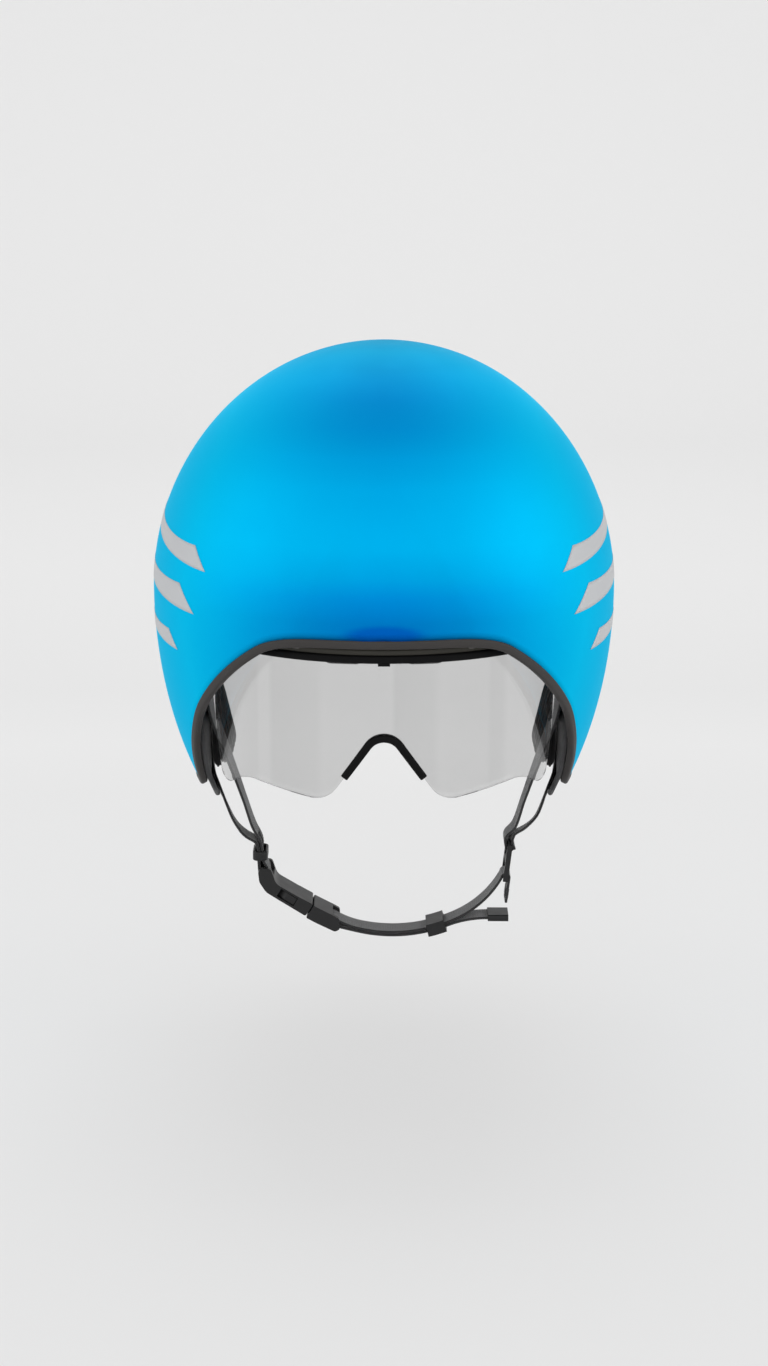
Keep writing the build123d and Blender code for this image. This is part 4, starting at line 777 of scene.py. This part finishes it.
seal_line = level_run(seal_half_width, (seal_top + seal_bottom) / 2, seal_inset, seal_steps)
seal_normals = [ellipsoid_normal(place, lens_reach) for place in seal_line]
seal_facing = [Vector((normal.x, normal.y, 0)).normalized() for normal in seal_normals]
flange_middle, flange_half = (flange_top + seal_top - flange_lap) / 2, (flange_top - seal_top + flange_lap) / 2
flange_line = [lens_point(place.x, flange_middle, flange_inset) for place in seal_line]
tab_line = level_run(tab_half_width, tab_middle, tab_inset, tab_steps)
gasket_parts = {
    "brow_gasket": (seal_line, seal_facing, flat_oval((seal_top - seal_bottom) / 2, 2.7, 1.2, lanes=3),
                    black_rubber, ("brow_seal",)),
    "gasket_flange": (flange_line, seal_facing, flat_oval(flange_half, 1.9, 0.9, lanes=3), olive_rubber, ()),
    "gasket_tab": (tab_line, [forward] * len(tab_line), flat_oval(tab_half_tall, 1.7, 0.7, lanes=2),
                   black_rubber, ()),
}
for name, (line, facing, section, finish, replaced) in gasket_parts.items():
    stations = [(place, upright, outward) for place, outward in zip(line, facing)]
    swept(name, stations, section, finish, "visor", "black_rubber", *replaced)
print("gasket pieces", len(gasket_parts), "with", len(seal_line), "stations along the brow")

# %% [markdown]
# The moulded pieces keep their fixed shapes and get finishes. A real moulding is never one flat
# colour: it has a fine grain from the tool, patches that are a little duller, and edges that hands
# and straps have rubbed paler. The bevel node finds those edges, because its rounded normal leaves
# the true one only near an edge, and the same normal also softens the hard corners of the model.

# %% Moulded plastics
edge_round, edge_wear, flat_agreement, edge_agreement = 0.0004, 2.2, 0.995, 0.90


def moulded(name, colour, roughness, grain_scale, grain_depth):
    made = Finish(name, colour, roughness, Specular_IOR_Level=0.30)
    bump = made.press(made.noise(grain_scale, 4.0), 0.40, grain_depth)
    softened = made.add("Bevel", {"Radius": edge_round}, samples=4).outputs["Normal"]
    made.join(softened, bump.inputs["Normal"])
    agree = made.vector_math("DOT_PRODUCT", softened, made.add("NewGeometry").outputs["Normal"])["Value"]
    patches = made.noise(170.0)
    rubbed = made.math("MULTIPLY", made.remap(agree, flat_agreement, edge_agreement), patches)
    made.feed(Base_Color=made.blend(rubbed, colour, shade(colour, edge_wear)),
              Roughness=made.remap(patches, to_low=roughness - 0.06, to_high=roughness + 0.08))
    return made


def dress(finish, *names):
    """Give a finish to pieces of the fixed model."""
    for name in names:
        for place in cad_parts[name].material_slots:
            place.material = finish.material


acetal = moulded("satin_acetal", (0.012, 0.012, 0.0125), 0.40, 2600.0, 0.00003)
nylon = moulded("satin_nylon", (0.012, 0.012, 0.013), 0.46, 1900.0, 0.00003)
grained_black = moulded("grained_black", (0.015, 0.015, 0.016), 0.58, 1300.0, 0.00006)
rail_brown = moulded("olive_brown_rail", (0.034, 0.029, 0.022), 0.50, 1500.0, 0.00004)
dress(acetal, "buckle_housing", "buckle_plug", "front_prong", "rear_prong", "strap_keeper", "strap_link", "strap_end")
dress(nylon, "band_left", "band_right", "temple_clip_left", "temple_clip_right", "cradle", "height_strip", "pinion")
dress(grained_black, "tail_vent", "height_track", "dial_housing", "dial_knob", "temple_pins", "strap_anchors")
dress(rail_brown, "visor_seat")
print("four moulded finishes")

# %% [markdown]
# Two small things are metal: the click spring and screw behind the dial, and the plated magnets that
# hold the visor. Spring steel shows fine drawn lines, so its grain is noise that has been stretched
# along one axis. The magnets wear a black nickel plate, so that they don't catch the eye under the
# brow: dark, a little warm, and faintly cloudy.

# %% Metals
steel = Finish("drawn_spring_steel", (0.52, 0.52, 0.53), 0.30, Metallic=1.0)
stretched = steel.add("Mapping", {"Vector": steel.metres, "Scale": (3500.0, 3500.0, 120.0)}).outputs["Vector"]
lines = steel.noise(1.0, vector=stretched)
steel.press(lines, 0.20, 0.00002)
steel.feed(Base_Color=steel.ramp(lines, [(0.3, 0.42), (0.7, 0.60)]),
           Roughness=steel.remap(lines, to_low=0.22, to_high=0.40))
dress(steel, "detent_spring", "dial_screw")

nickel = Finish("black_nickel_plate", (0.085, 0.082, 0.078), 0.32, Metallic=1.0)
stain = nickel.noise(420.0, 4.0)
nickel.feed(Base_Color=nickel.ramp(stain, [(0.35, (0.070, 0.067, 0.062)), (0.65, (0.100, 0.097, 0.092))]),
            Roughness=nickel.remap(stain, to_low=0.26, to_high=0.42))
dress(nickel, "seat_magnets", "visor_magnets")
print("two metals")

# %% [markdown]
# The liner is bead foam: small beads of plastic, blown up until they press flat against each other.
# Each bead is a cell about three millimetres wide with a thin groove round it, and some beads are a
# touch paler than others. A Voronoi pattern is just that, so one copy of it gives each bead its
# shade and a second one, read as distance to the nearest edge, presses the grooves in.

# %% Bead foam
foam = Finish("black_bead_foam", (0.035, 0.035, 0.037), 0.72)
bead_cells = {"Vector": foam.metres, "Scale": 330.0}
grooves = foam.add("TexVoronoi", bead_cells, feature="DISTANCE_TO_EDGE").outputs["Distance"]
foam.press(foam.remap(grooves, high=0.16), 0.55, 0.00022)
bead_tone = foam.add("SeparateColor", {"Color": foam.add("TexVoronoi", bead_cells).outputs["Color"]}).outputs
foam.feed(Base_Color=foam.ramp(bead_tone["Red"], [(0.0, (0.027, 0.027, 0.029)), (1.0, (0.047, 0.047, 0.050))]),
          Roughness=foam.remap(bead_tone["Green"], to_low=0.60, to_high=0.82))
dress(foam, "foam_liner")
print("foam beads", round(1 / (bead_cells["Scale"] * millimetre), 1), "mm wide")

# %% [markdown]
# The pads are soft foam wrapped in knit. The inner pads are a brushed loop fabric that the hook
# patches in the liner hold, the ear linings are a smoother cloth, and the ear pads a black ribbed
# knit. Every pad carries texture coordinates in metres on its own face, so the knit's wales run along
# the pad. Sheen gives the pale bloom that cloth has where the eye meets it at a low angle.

# %% Knitted fabrics
furrow_height, knit_dark, knit_pale = 1.4, 0.72, 1.55


def knitted(name, colour, loop_wide, loop_tall, depth, fuzz):
    made = Finish(name, colour, 0.88, Specular_IOR_Level=0.22, Sheen_Weight=fuzz, Sheen_Roughness=0.45)
    across, lengthwise, _ = made.axes(made.add("UVMap").outputs["UV"])
    column = made.math("PINGPONG", across, loop_wide)
    turns = made.math("MULTIPLY", made.math("ADD", lengthwise, column), 2 * math.pi / loop_tall)
    furrow = made.math("MULTIPLY", column, furrow_height / loop_wide)
    fibres = made.noise(2400.0, 4.0)
    made.press(made.math("ADD", made.math("ADD", made.math("SINE", turns), furrow), fibres), 0.5, depth)
    tone = made.math("MULTIPLY", made.noise(70.0), fibres)
    made.feed(Base_Color=made.ramp(tone, [(0.12, shade(colour, knit_dark)), (0.42, shade(colour, knit_pale))]))
    return made


pad_knit = knitted("brushed_pad_knit", (0.036, 0.036, 0.040), 0.0011, 0.0013, 0.00018, 0.35)
lining_cloth = knitted("smooth_lining_cloth", (0.050, 0.050, 0.052), 0.0007, 0.0008, 0.00008, 0.25)
ear_knit = knitted("black_ribbed_knit", (0.0085, 0.0085, 0.0090), 0.0009, 0.0011, 0.00014, 0.12)
print("three fabrics")

# %% [markdown]
# A pad is a crowned closed form, flat where it rests on the liner. One helper makes all of them. It
# takes an outline, a short spine in the middle of it, and a rule that turns a place on the pad, and
# a share of its thickness, into a point in the helmet. Rings run from the seam at the outline in to
# the spine. The face swells quickly behind the seam and then stays nearly level, as foam under a
# tight cover does, and sewn channels press into it. A thin piping covers the seam.

# %% A helper for pads
pad_fill, face_swell, back_swell = 0.75, 5, 9


def oblong(half_long, half_tall, corner, count=160):
    """Evenly divided outline of a rectangle with round corners, about its own middle."""
    corners = [(0, half_tall), (half_long, half_tall), (half_long, -half_tall), (-half_long, -half_tall),
               (-half_long, half_tall), (0, half_tall)]
    return along(round_corners(corners, [corner] * 4, steps=8), count)[:-1]


def nearest_on(spine, point):
    first, run = Vector(spine[0]), Vector(spine[1]) - Vector(spine[0])
    return first + run * max(0.0, min(1.0, (point - first).dot(run) / run.length_squared))


def ring_frames(line):
    """Stations round a closed line, square to it, that don't twist."""
    middle = sum(line, Vector()) / len(line)
    return frames_along(line, [point - middle for point in line], closed=True)


def pillow(name, outline, spine, place, cover, slot_name, replaced, body="helmet", seam=0.34, rings=14,
           channels=(), channel_width=2.2, channel_depth=0.45, piping=0.75):
    """Closed pad over an outline; place(across, along, share) gives points in millimetres."""
    bm = bmesh.new()
    uv = bm.loops.layers.uv.new("metres")
    flat_places = {}

    def pressed(spot):
        """How far the sewn channels hold the face down at a place."""
        gaps = [(spot - nearest_on(channel, spot)).length for channel in channels]
        return channel_depth * max([math.exp(-(gap / channel_width) ** 2) for gap in gaps], default=0.0)

    def ring_of(radius, face):
        ring = []
        for point in outline:
            middle = nearest_on(spine, point)
            spot = middle + (point - middle) * radius
            swell = math.sqrt(max(0.0, 1 - radius ** (face_swell if face else back_swell)))
            share = seam + (1 - seam) * swell * (1 - pressed(spot)) if face else seam * (1 - swell)
            vertex = bm.verts.new(place(spot.x, spot.y, share) * millimetre)
            flat_places[vertex] = spot
            ring.append(vertex)
        return ring

    edge = ring_of(1.0, True)
    for face in (True, False):
        outer = edge
        for step in range(1, rings + 1):
            inner = ring_of(math.sin(math.radians(90) * (1 - step / rings)), face)
            for index in range(len(outline)):
                following = (index + 1) % len(outline)
                quad = (outer[index], outer[following], inner[following], inner[index])
                for loop in bm.faces.new(quad if face else quad[::-1]).loops:
                    loop[uv].uv = flat_places[loop.vert] * millimetre
            outer = inner
    bmesh.ops.remove_doubles(bm, verts=bm.verts, dist=1e-5)
    pad = finish_mesh(name, bm, cover.material)
    settle(pad, body, slot_name, replaced)
    seam_line = [place(point.x, point.y, seam) for point in outline]
    swept(name + "_piping", ring_frames(seam_line), flat_oval(piping, piping, piping * 0.98, lanes=1), cover,
          body, slot_name, closed=True)


print("pads swell by powers", face_swell, "and", back_swell)

# %% [markdown]
# Four pads line the head hollow: a long one behind the brow, one under the crown and one over each
# temple. They lie on the liner's inner egg, which is smaller than the shell's, and are five
# millimetres thick. Their channels make them bend without creasing, so the brow pad has five short
# ones across it.

# %% Inner pads
head_half_width, head_front, head_rear, head_crown = 88.0, 96.0, 104.0, 92.0
pad_gap, pad_thick = 0.3, 5.0
brow_height, crown_back, temple_back, temple_up = 14.3, -3.0, 14.0, 46.0
brow_scale = math.radians(1) * 92.0


def head_reach(y, share):
    """Half axes of the head hollow, drawn in to a share of the pad's thickness."""
    inset = pad_gap + pad_thick * share
    return head_half_width - inset, (head_rear if y > 0 else head_front) - inset, head_crown - inset


def brow_place(across, up, share):
    wide, length, tall = head_reach(-1, share)
    turn = math.radians(across / brow_scale)
    z = brow_height + up
    flat = math.sqrt(1 - (z / tall) ** 2)
    return Vector((wide * flat * math.sin(turn), -length * flat * math.cos(turn), z))


def crown_place(across, back, share):
    y = back + crown_back
    wide, length, tall = head_reach(y, share)
    return Vector((across, y, tall * math.sqrt(1 - (across / wide) ** 2 - (y / length) ** 2)))


def temple_place(side):
    def place(back, up, share):
        y, z = back + temple_back, up + temple_up
        wide, length, tall = head_reach(y, share)
        return Vector((side * wide * math.sqrt(1 - (y / length) ** 2 - (z / tall) ** 2), y, z))
    return place


def furrows(places, half):
    """Straight sewn channels across a pad."""
    return [((place, -half), (place, half)) for place in places]


brow_end, brow_end_gap, brow_half_tall = 44.0, 3.5, 12.4
brow_half = math.degrees(math.acos(brow_end / head_front)) * brow_scale - brow_end_gap
brow_spine = ((-brow_half + brow_half_tall, 0), (brow_half - brow_half_tall, 0))
pillow("brow_cushion", oblong(brow_half, brow_half_tall, 9.0, 260), brow_spine, brow_place, pad_knit, "pad_fabric",
       "brow_pad", channels=furrows((-66.0, -33.0, 0.0, 33.0, 66.0), 8.0))
pillow("crown_cushion", oblong(14.8, 48.8, 10.0), ((0, -34.0), (0, 34.0)), crown_place, pad_knit, "pad_fabric",
       "crown_pad", channels=[((-9.0, y), (9.0, y)) for y in (0.0, -24.0, 24.0)])
for word, side in sides:
    pillow(f"temple_cushion_{word}", oblong(35.6, 15.6, 10.0), ((-20.0, 0), (20.0, 0)), temple_place(side), pad_knit,
           "pad_fabric", f"side_pad_{word}", channels=furrows((-12.0, 12.0), 9.0))
print("inner pads", 4)

# %% [markdown]
# Under each side of the shell hangs a cloth lining with a thick rounded rim. It fills the space
# between the shell and the head, and its face leans in a little towards the bottom. The ear pad in
# front of it is a wedge of foam in ribbed knit: thin at the top, thick at the bottom, with four sewn
# furrows that run down it.

# %% Ear linings and ear pads
def kept(share):
    return max(0.0, min(1.0, share))


def eased(share):
    """A share that starts and ends gently."""
    return kept(share) ** 2 * (3 - 2 * kept(share))


lining_inset, lining_wall, lining_bend, lining_lean_end, lining_low = 3.4, 2.3, 80.0, 103.0, 102.4
swell_back, swell_back_run, swell_up, swell_up_run = 2.0, 14.0, -56.0, 6.0
lining_top_face, lining_low_face, lining_front_face = 89.0, 84.5, 84.7
lining_corners = [(0.0, -44.6), (-43.0, -44.6), (-43.0, -67.98), (-21.5, -98.0), (-14.2, -lining_low),
                  (1.8, -lining_low), (36.0, -74.2), (36.0, -44.6), (0.0, -44.6)]
lining_radii = [2.0, 8.0, 8.0, 4.0, 8.0, 8.0, 2.0]
lining_outline = along(round_corners(lining_corners, lining_radii, steps=8), 200)[:-1]
ear_top, ear_bottom, ear_back = 46.0, 86.6, -0.5
ear_half_deep, ear_middle = (ear_bottom - ear_top) / 2, (ear_top + ear_bottom) / 2
ear_root, root_step, root_low, root_run = 83.9, 4.6, 59.0, 5.0
ear_face, face_lean, face_run, toe_step, toe_low, toe_run = 82.0, 9.0, 35.8, 2.6, 81.8, 4.8


def lining_place(side):
    def place(back, up, share):
        outer = egg_side(back, up, lining_inset)
        lean = max(0.0, (-up - lining_bend) / (lining_lean_end - lining_bend))
        inner = min(lining_top_face - (lining_top_face - lining_low_face) * lean, outer - lining_wall)
        swell = eased((swell_back - back) / swell_back_run) * eased((swell_up - up) / swell_up_run)
        inner -= max(0.0, inner - lining_front_face) * swell
        return Vector((side * (outer + (inner - outer) * share), back, up))
    return place


def ear_place(side):
    def place(back, up, share):
        z = up - ear_middle
        root = ear_root + root_step * eased((z + root_low) / root_run)
        toe = toe_step * max(0.0, -z - toe_low) / toe_run
        face = ear_face - face_lean * kept((-z - ear_top) / face_run) + toe
        return Vector((side * (root + (face - root) * share), back + ear_back, z))
    return place


for word, side in sides:
    pillow(f"cloth_lining_{word}", lining_outline, ((-12.0, -66.0), (6.0, -66.0)), lining_place(side), lining_cloth,
           "lining_fabric", f"ear_lining_{word}", seam=0.5, rings=10, piping=1.25)
    pillow(f"ribbed_ear_pad_{word}", oblong(26.2, ear_half_deep, 5.0, 220), ((-8.0, 0), (8.0, 0)), ear_place(side),
           ear_knit, "ear_pad_fabric", f"ear_pad_{word}", rings=22, channel_width=1.5, channel_depth=0.40, piping=0.6,
           channels=furrows((-15.9, -5.3, 5.3, 15.9), 17.0))
print("linings and ear pads", 4)

# %% [markdown]
# Two thin pads soften the cradle that holds the back of the head. They follow the head ring, which is
# an arc in a plane that tips back and down, so their rule counts along the arc and up from its plane,
# and then tilts the result about the temples.

# %% Cradle pads
ring_centre, ring_tip, temple_y = 24.0, math.radians(18), -10.0
cradle_pad_seat, cradle_pad_thick, cradle_pad_turn = 79.7, 2.0, math.radians(17.67)


def cradle_place(middle):
    def place(across, up, share):
        turn = middle + across / cradle_pad_seat
        radius = cradle_pad_seat - cradle_pad_thick * share
        back = ring_centre + radius * math.cos(turn)
        return Vector((radius * math.sin(turn), temple_y + back * math.cos(ring_tip) + up * math.sin(ring_tip),
                       up * math.cos(ring_tip) - back * math.sin(ring_tip)))
    return place


for word, side in sides:
    pillow(f"nape_cushion_{word}", oblong(14.6, 11.4, 5.0, 120), ((-5.0, 0), (5.0, 0)),
           cradle_place(side * cradle_pad_turn), pad_knit, "pad_fabric", f"cradle_pad_{word}", body="fit_frame",
           piping=0.45, rings=9, channel_width=1.2, channels=furrows((0.0,), 7.0))
print("cradle pads", 2)

# %% [markdown]
# The harness is flat polyester webbing, fifteen millimetres wide and just over one thick. A strap
# can twist along its length but hardly bends across its width, so each station needs its own width
# direction. The routes repeat the fixed model's places: the front leg drops from behind the lens, the
# rear leg comes forward under the ear, and both turn round one bar at the bottom.

# %% Routes of the side straps
web_half, web_half_thick, web_round, strap_y = 7.5, 0.6, 0.55, -30.0
chin_middle, chin_radius = Vector((4.2, strap_y, -94.005)), 73.6


def smooth_line(points, steps):
    """Even curve through every point of a list of vectors (a Catmull-Rom spline)."""
    line = []
    padded = points[:1] + points + points[-1:]
    for before, first, second, after in zip(padded, padded[1:], padded[2:], padded[3:]):
        for step in range(steps):
            t = step / steps
            line.append(0.5 * (2 * first + (second - before) * t + (2 * before - 5 * first + 4 * second - after) * t**2
                               + (3 * first - before - 3 * second + after) * t**3))
    return line + [points[-1].copy()]


def strap_stations(places, turns, steps=6):
    """Smooth stations through places, each with its own width direction."""
    across = []
    for first, second in zip(turns, turns[1:]):
        across += [Vector(first).lerp(Vector(second), step / steps) for step in range(steps)]
    return frames_along(smooth_line([Vector(p) for p in places], steps), across + [Vector(turns[-1])])


def in_plane(x, z):
    return Vector((x, 0, z))


def chin_point(angle, radius=chin_radius):
    turn = math.radians(angle)
    return chin_middle + in_plane(math.sin(turn), -math.cos(turn)) * radius


def loop_under(bar, radius, start, end, count=8):
    """Points round a bar; angles are counted from +X through up."""
    turns = [math.radians(start + (end - start) * step / count) for step in range(count + 1)]
    return [bar + in_plane(math.cos(turn), math.sin(turn)) * radius for turn in turns]


print("chin arc radius", chin_radius, "mm")

# %% Side straps
front_leg = [(-84.5, -36.0, -44.9), (-81.5, -36.0, -59.9), (-77.0, -35.0, -73.0), (-72.4, -34.0, -86.4),
             (-67.9, -32.0, -100.4), (-63.9, -30.6, -113.2)]
front_turns = [(lean, 1, 0) for lean in (0.23, 0.18, 0.11, 0.06, 0.02, 0.04)]
rear_leg = [(-86.4, 22.0, -61.5), (-86.4, 13.0, -77.9), (-84.3, 2.0, -94.5), (-79.7, -9.0, -103.6),
            (-73.8, -20.0, -113.2)]
rear_turns = [(0, 0.8, -0.5), (0, 0.8, -0.6), (0.05, 0.75, -0.65), (0.1, 0.8, -0.6), (0.1, 0.9, -0.4)]
level = (0, 1, 0)
left_loop, right_loop, link_loop, gather = 2.2, 1.9, 1.9, 16.8
front_gather = ((-0.100, 0, 0.998), (-0.060, 0, 0.520), (0.094, 0, 0.218))
rear_gather = ((-0.509, 0.119, 1.145), (-0.214, 0, 0.930), (-0.174, 0, 0.520), (-0.154, 0, 0.218))
buckle_angle, buckle_radius, right_gather = -54.66, 76.6, 0.274
link_lean, link_angle, link_inset, link_tall = math.radians(7.2), 50.48, 2.26, 15.92


def side_strap(bar, loop_radius, front_end, rear_end):
    ends = front_end + loop_under(bar, loop_radius, 0, -180) + rear_end[::-1]
    return strap_stations(front_leg + ends + rear_leg[::-1], front_turns + [level] * len(ends) + rear_turns[::-1])


buckle_bar = chin_point(buckle_angle, buckle_radius)
link_low = chin_point(link_angle, chin_radius - link_inset)
link_up = in_plane(math.sin(link_lean), math.cos(link_lean))
mirrored_bar = flip(link_low + link_up * link_tall)
left_ends = [[buckle_bar + Vector(share) * gather for share in shares] for shares in (front_gather, rear_gather)]
right_ends = [[mirrored_bar + in_plane(side * right_loop, right_gather * gather)] for side in (1, -1)]
left_stations = side_strap(buckle_bar, left_loop, *left_ends)
right_stations = [tuple(flip(v) for v in station) for station in side_strap(mirrored_bar, right_loop, *right_ends)]
print("strap stations", len(left_stations), len(right_stations))

# %% [markdown]
# Woven webbing shows chevrons: the warp floats over two picks and under two, and the pattern turns
# back on itself every millimetre and a half. The texture coordinates already run across and along the
# strap in metres, so a triangle wave across, added to the way along, gives the chevrons from two
# nodes. The crests of the yarns are painted lighter and the hollows between them darker, a painted
# light and shade of the weave. The selvedges, where the yarns turn round, are denser and darker.

# %% Webbing
chevron_wide, pick_tall, warp_wide, warp_depth = 0.0016, 0.0012, 0.00027, 1600.0
webbing = Finish("harness_webbing", (0.09, 0.09, 0.095), 0.62, Sheen_Weight=0.30, Sheen_Roughness=0.35)
across, lengthwise, _ = webbing.axes(webbing.add("UVMap").outputs["UV"])
chevron = webbing.math("ADD", lengthwise, webbing.math("PINGPONG", across, chevron_wide))
yarns = webbing.math("SINE", webbing.math("MULTIPLY", chevron, 2 * math.pi / pick_tall))
warp = webbing.math("MULTIPLY", webbing.math("PINGPONG", across, warp_wide), warp_depth)
webbing.press(webbing.math("ADD", yarns, warp), 0.45, 0.00012)
web_girth = 4 * (web_half - web_round) + 2 * math.pi * web_round
round_trip = webbing.math("MULTIPLY", across, 2 * math.pi / (web_girth * millimetre))
edge_wave = webbing.math("COSINE", webbing.math("MULTIPLY", round_trip, 2.0))
# Painted light and shade of the weave: raised yarns lighter, hollows darker; the same share also sets the roughness.
yarn_rise_and_painted_shade = webbing.remap(yarns, -1.0, 1.0)
thread = webbing.ramp(yarn_rise_and_painted_shade, [(0.0, (0.070, 0.070, 0.072)), (1.0, (0.150, 0.150, 0.155))])
webbing.feed(Base_Color=webbing.blend(webbing.remap(edge_wave, 0.80, 0.93), thread, (0.012, 0.012, 0.013)),
             Roughness=webbing.remap(yarn_rise_and_painted_shade, to_low=0.74, to_high=0.54))
strap_section = flat_oval(web_half, web_half_thick, web_round, lanes=8)
for (word, _), stations in zip(sides, (left_stations, right_stations)):
    swept(f"{word}_strap_webbing", stations, strap_section, webbing, "helmet", "webbing", f"strap_{word}")
print("webbing girth", round(web_girth, 1), "mm")

# %% [markdown]
# The chin strap is one long piece. It is sewn round the link, runs under the chin, turns round the
# bar of the buckle's plug, and comes back below itself through the keeper to its free end. Its curved
# runs leave the arc smoothly, so an arc that starts along a given direction and ends at a given point
# is all that they need.

# %% Chin strap
def arc_from(start, heading, end, count=8):
    """Points on the arc that leaves a point along a heading, in the strap's plane, and meets another."""
    chord = end - start
    heading = heading.normalized()
    side = (chord - heading * chord.dot(heading)).normalized()
    radius = chord.length_squared / (2 * side.dot(chord))
    sweep = 2 * heading.angle(chord)
    centre = start + side * radius
    turns = [sweep * step / count for step in range(1, count + 1)]
    return [centre - side * radius * math.cos(turn) + heading * radius * math.sin(turn) for turn in turns]


def chin_heading(angle):
    """Direction along the chin arc towards +X."""
    return in_plane(math.cos(math.radians(angle)), math.sin(math.radians(angle)))


def chin_run(start, end, radius, count=14):
    return [chin_point(start + (end - start) * step / count, radius) for step in range(count + 1)]


upper_radius, lower_radius, plug_loop = chin_radius - 0.75, chin_radius + 0.75, 1.8
plug_angle, spread_angle, rise_angle, leave_angle, end_angle = -23.5, -13.0, 26.0, 21.3, 35.36
sewn_length, sewn_steps, free_drop = 12.5, 4, 6.9
outer_foot = link_low + in_plane(link_loop, 0)
sewn_run = [outer_foot - link_up * sewn_length * (1 - step / sewn_steps) for step in range(sewn_steps)]
over_link = loop_under(link_low, link_loop, 0, 180)
climb = arc_from(chin_point(rise_angle, upper_radius), chin_heading(rise_angle), over_link[-1])
upper = chin_run(rise_angle, spread_angle, upper_radius)
lower = chin_run(spread_angle, leave_angle, lower_radius)
into_plug, out_of_plug = [
    arc_from(start, -chin_heading(spread_angle), chin_point(plug_angle, chin_radius + reach), 4)
    for start, reach in ((upper[-1], -plug_loop), (lower[0], plug_loop))]
round_plug = loop_under(chin_point(plug_angle), plug_loop, 90 + plug_angle, 270 + plug_angle)
tail = arc_from(lower[-1], chin_heading(leave_angle), chin_point(end_angle, chin_radius + free_drop))
chin_line = (sewn_run + over_link + climb[-2::-1] + upper + into_plug + round_plug[1:-1] + out_of_plug[::-1] + lower
             + tail)
chin_stations = strap_stations(chin_line, [level] * len(chin_line), 3)
swept("chin_webbing", chin_stations, strap_section, webbing, "helmet", "webbing", "chin_strap")
print("chin strap", round(sum((b - a).length for a, b in zip(chin_line, chin_line[1:]))), "mm long")

# %% [markdown]
# The right strap and the chin strap meet in a divider, a smooth oval loop of round bar. It is the
# same helper again, closed on itself, with the loop's outline laid level.

# %% Strap divider
divider_middle, divider_half_wide, divider_half_deep = Vector((-60.25, strap_y, -128.15)), 3.65, 9.0
divider_wall, divider_half_tall, divider_corner, divider_round = 0.65, 2.3, 2.4, 0.6
divider_ring = oblong(divider_half_wide - divider_wall, divider_half_deep - divider_wall, divider_corner, 72)
divider_line = [divider_middle + Vector((place.x, place.y, 0)) for place in divider_ring]
divider_frames = [(place, upright, outward) for place, outward, _ in ring_frames(divider_line)]
divider_section = flat_oval(divider_half_tall, divider_wall, divider_round, lanes=3)
swept("strap_divider_loop", divider_frames, divider_section, acetal, "helmet", "buckle_plastic", "strap_divider",
      closed=True)
print("divider stations", len(divider_frames))

# %% [markdown]
# Sewn ends are held by bar tacks: a dense zigzag of thread across the strap. The thread is a thin
# raised line that follows the webbing, half sunk in it.

# %% Bar tacks
bonded = Finish("bonded_black_thread", (0.014, 0.014, 0.015), 0.48)
twist = bonded.add("TexWave", {"Vector": bonded.metres, "Scale": 900.0, "Distortion": 1.5}).outputs["Fac"]
bonded.press(twist, 0.5, 0.00006)
bonded.feed(Base_Color=bonded.ramp(twist, [(0.0, (0.008, 0.008, 0.009)), (1.0, (0.026, 0.026, 0.028))]))
tack_half_wide, tack_rise = 5.6, 0.62
thread_section = flat_oval(0.24, 0.24, 0.23, lanes=1)


def bar_tack(name, stations, first, last, rise, count=17):
    """Zigzag of thread on one face of a strap, between two of its stations."""
    line, normals = [], []
    for step in range(count):
        where = first + (last - first) * step / (count - 1)
        low = min(int(where), len(stations) - 2)
        (here, wide, thick), following = stations[low], stations[low + 1][0]
        side = 1 if step % 2 else -1
        line.append(here.lerp(following, where - low) + wide * tack_half_wide * side + thick * rise)
        normals.append(thick)
    bm = bmesh.new()
    for start, end, start_up, end_up in zip(line, line[1:], normals, normals[1:]):
        run = (end - start).normalized()
        carry(bm, [(start, run.cross(start_up).normalized(), start_up), (end, run.cross(end_up).normalized(), end_up)],
              thread_section)
    settle(finish_mesh(name, bm, bonded.material), "helmet", "webbing")


free_end, gather_start = len(chin_stations), 6 * len(front_leg) - 3
bar_tack("link_bar_tack", chin_stations, 2.0, 6.0, tack_rise)
bar_tack("link_bar_tack_back", chin_stations, 2.0, 6.0, -tack_rise)
bar_tack("free_end_tack", chin_stations, free_end - 8, free_end - 5, -tack_rise, count=11)
bar_tack("gather_tack_left", left_stations, gather_start, gather_start + 5, tack_rise, count=13)
print("bar tacks", 4)
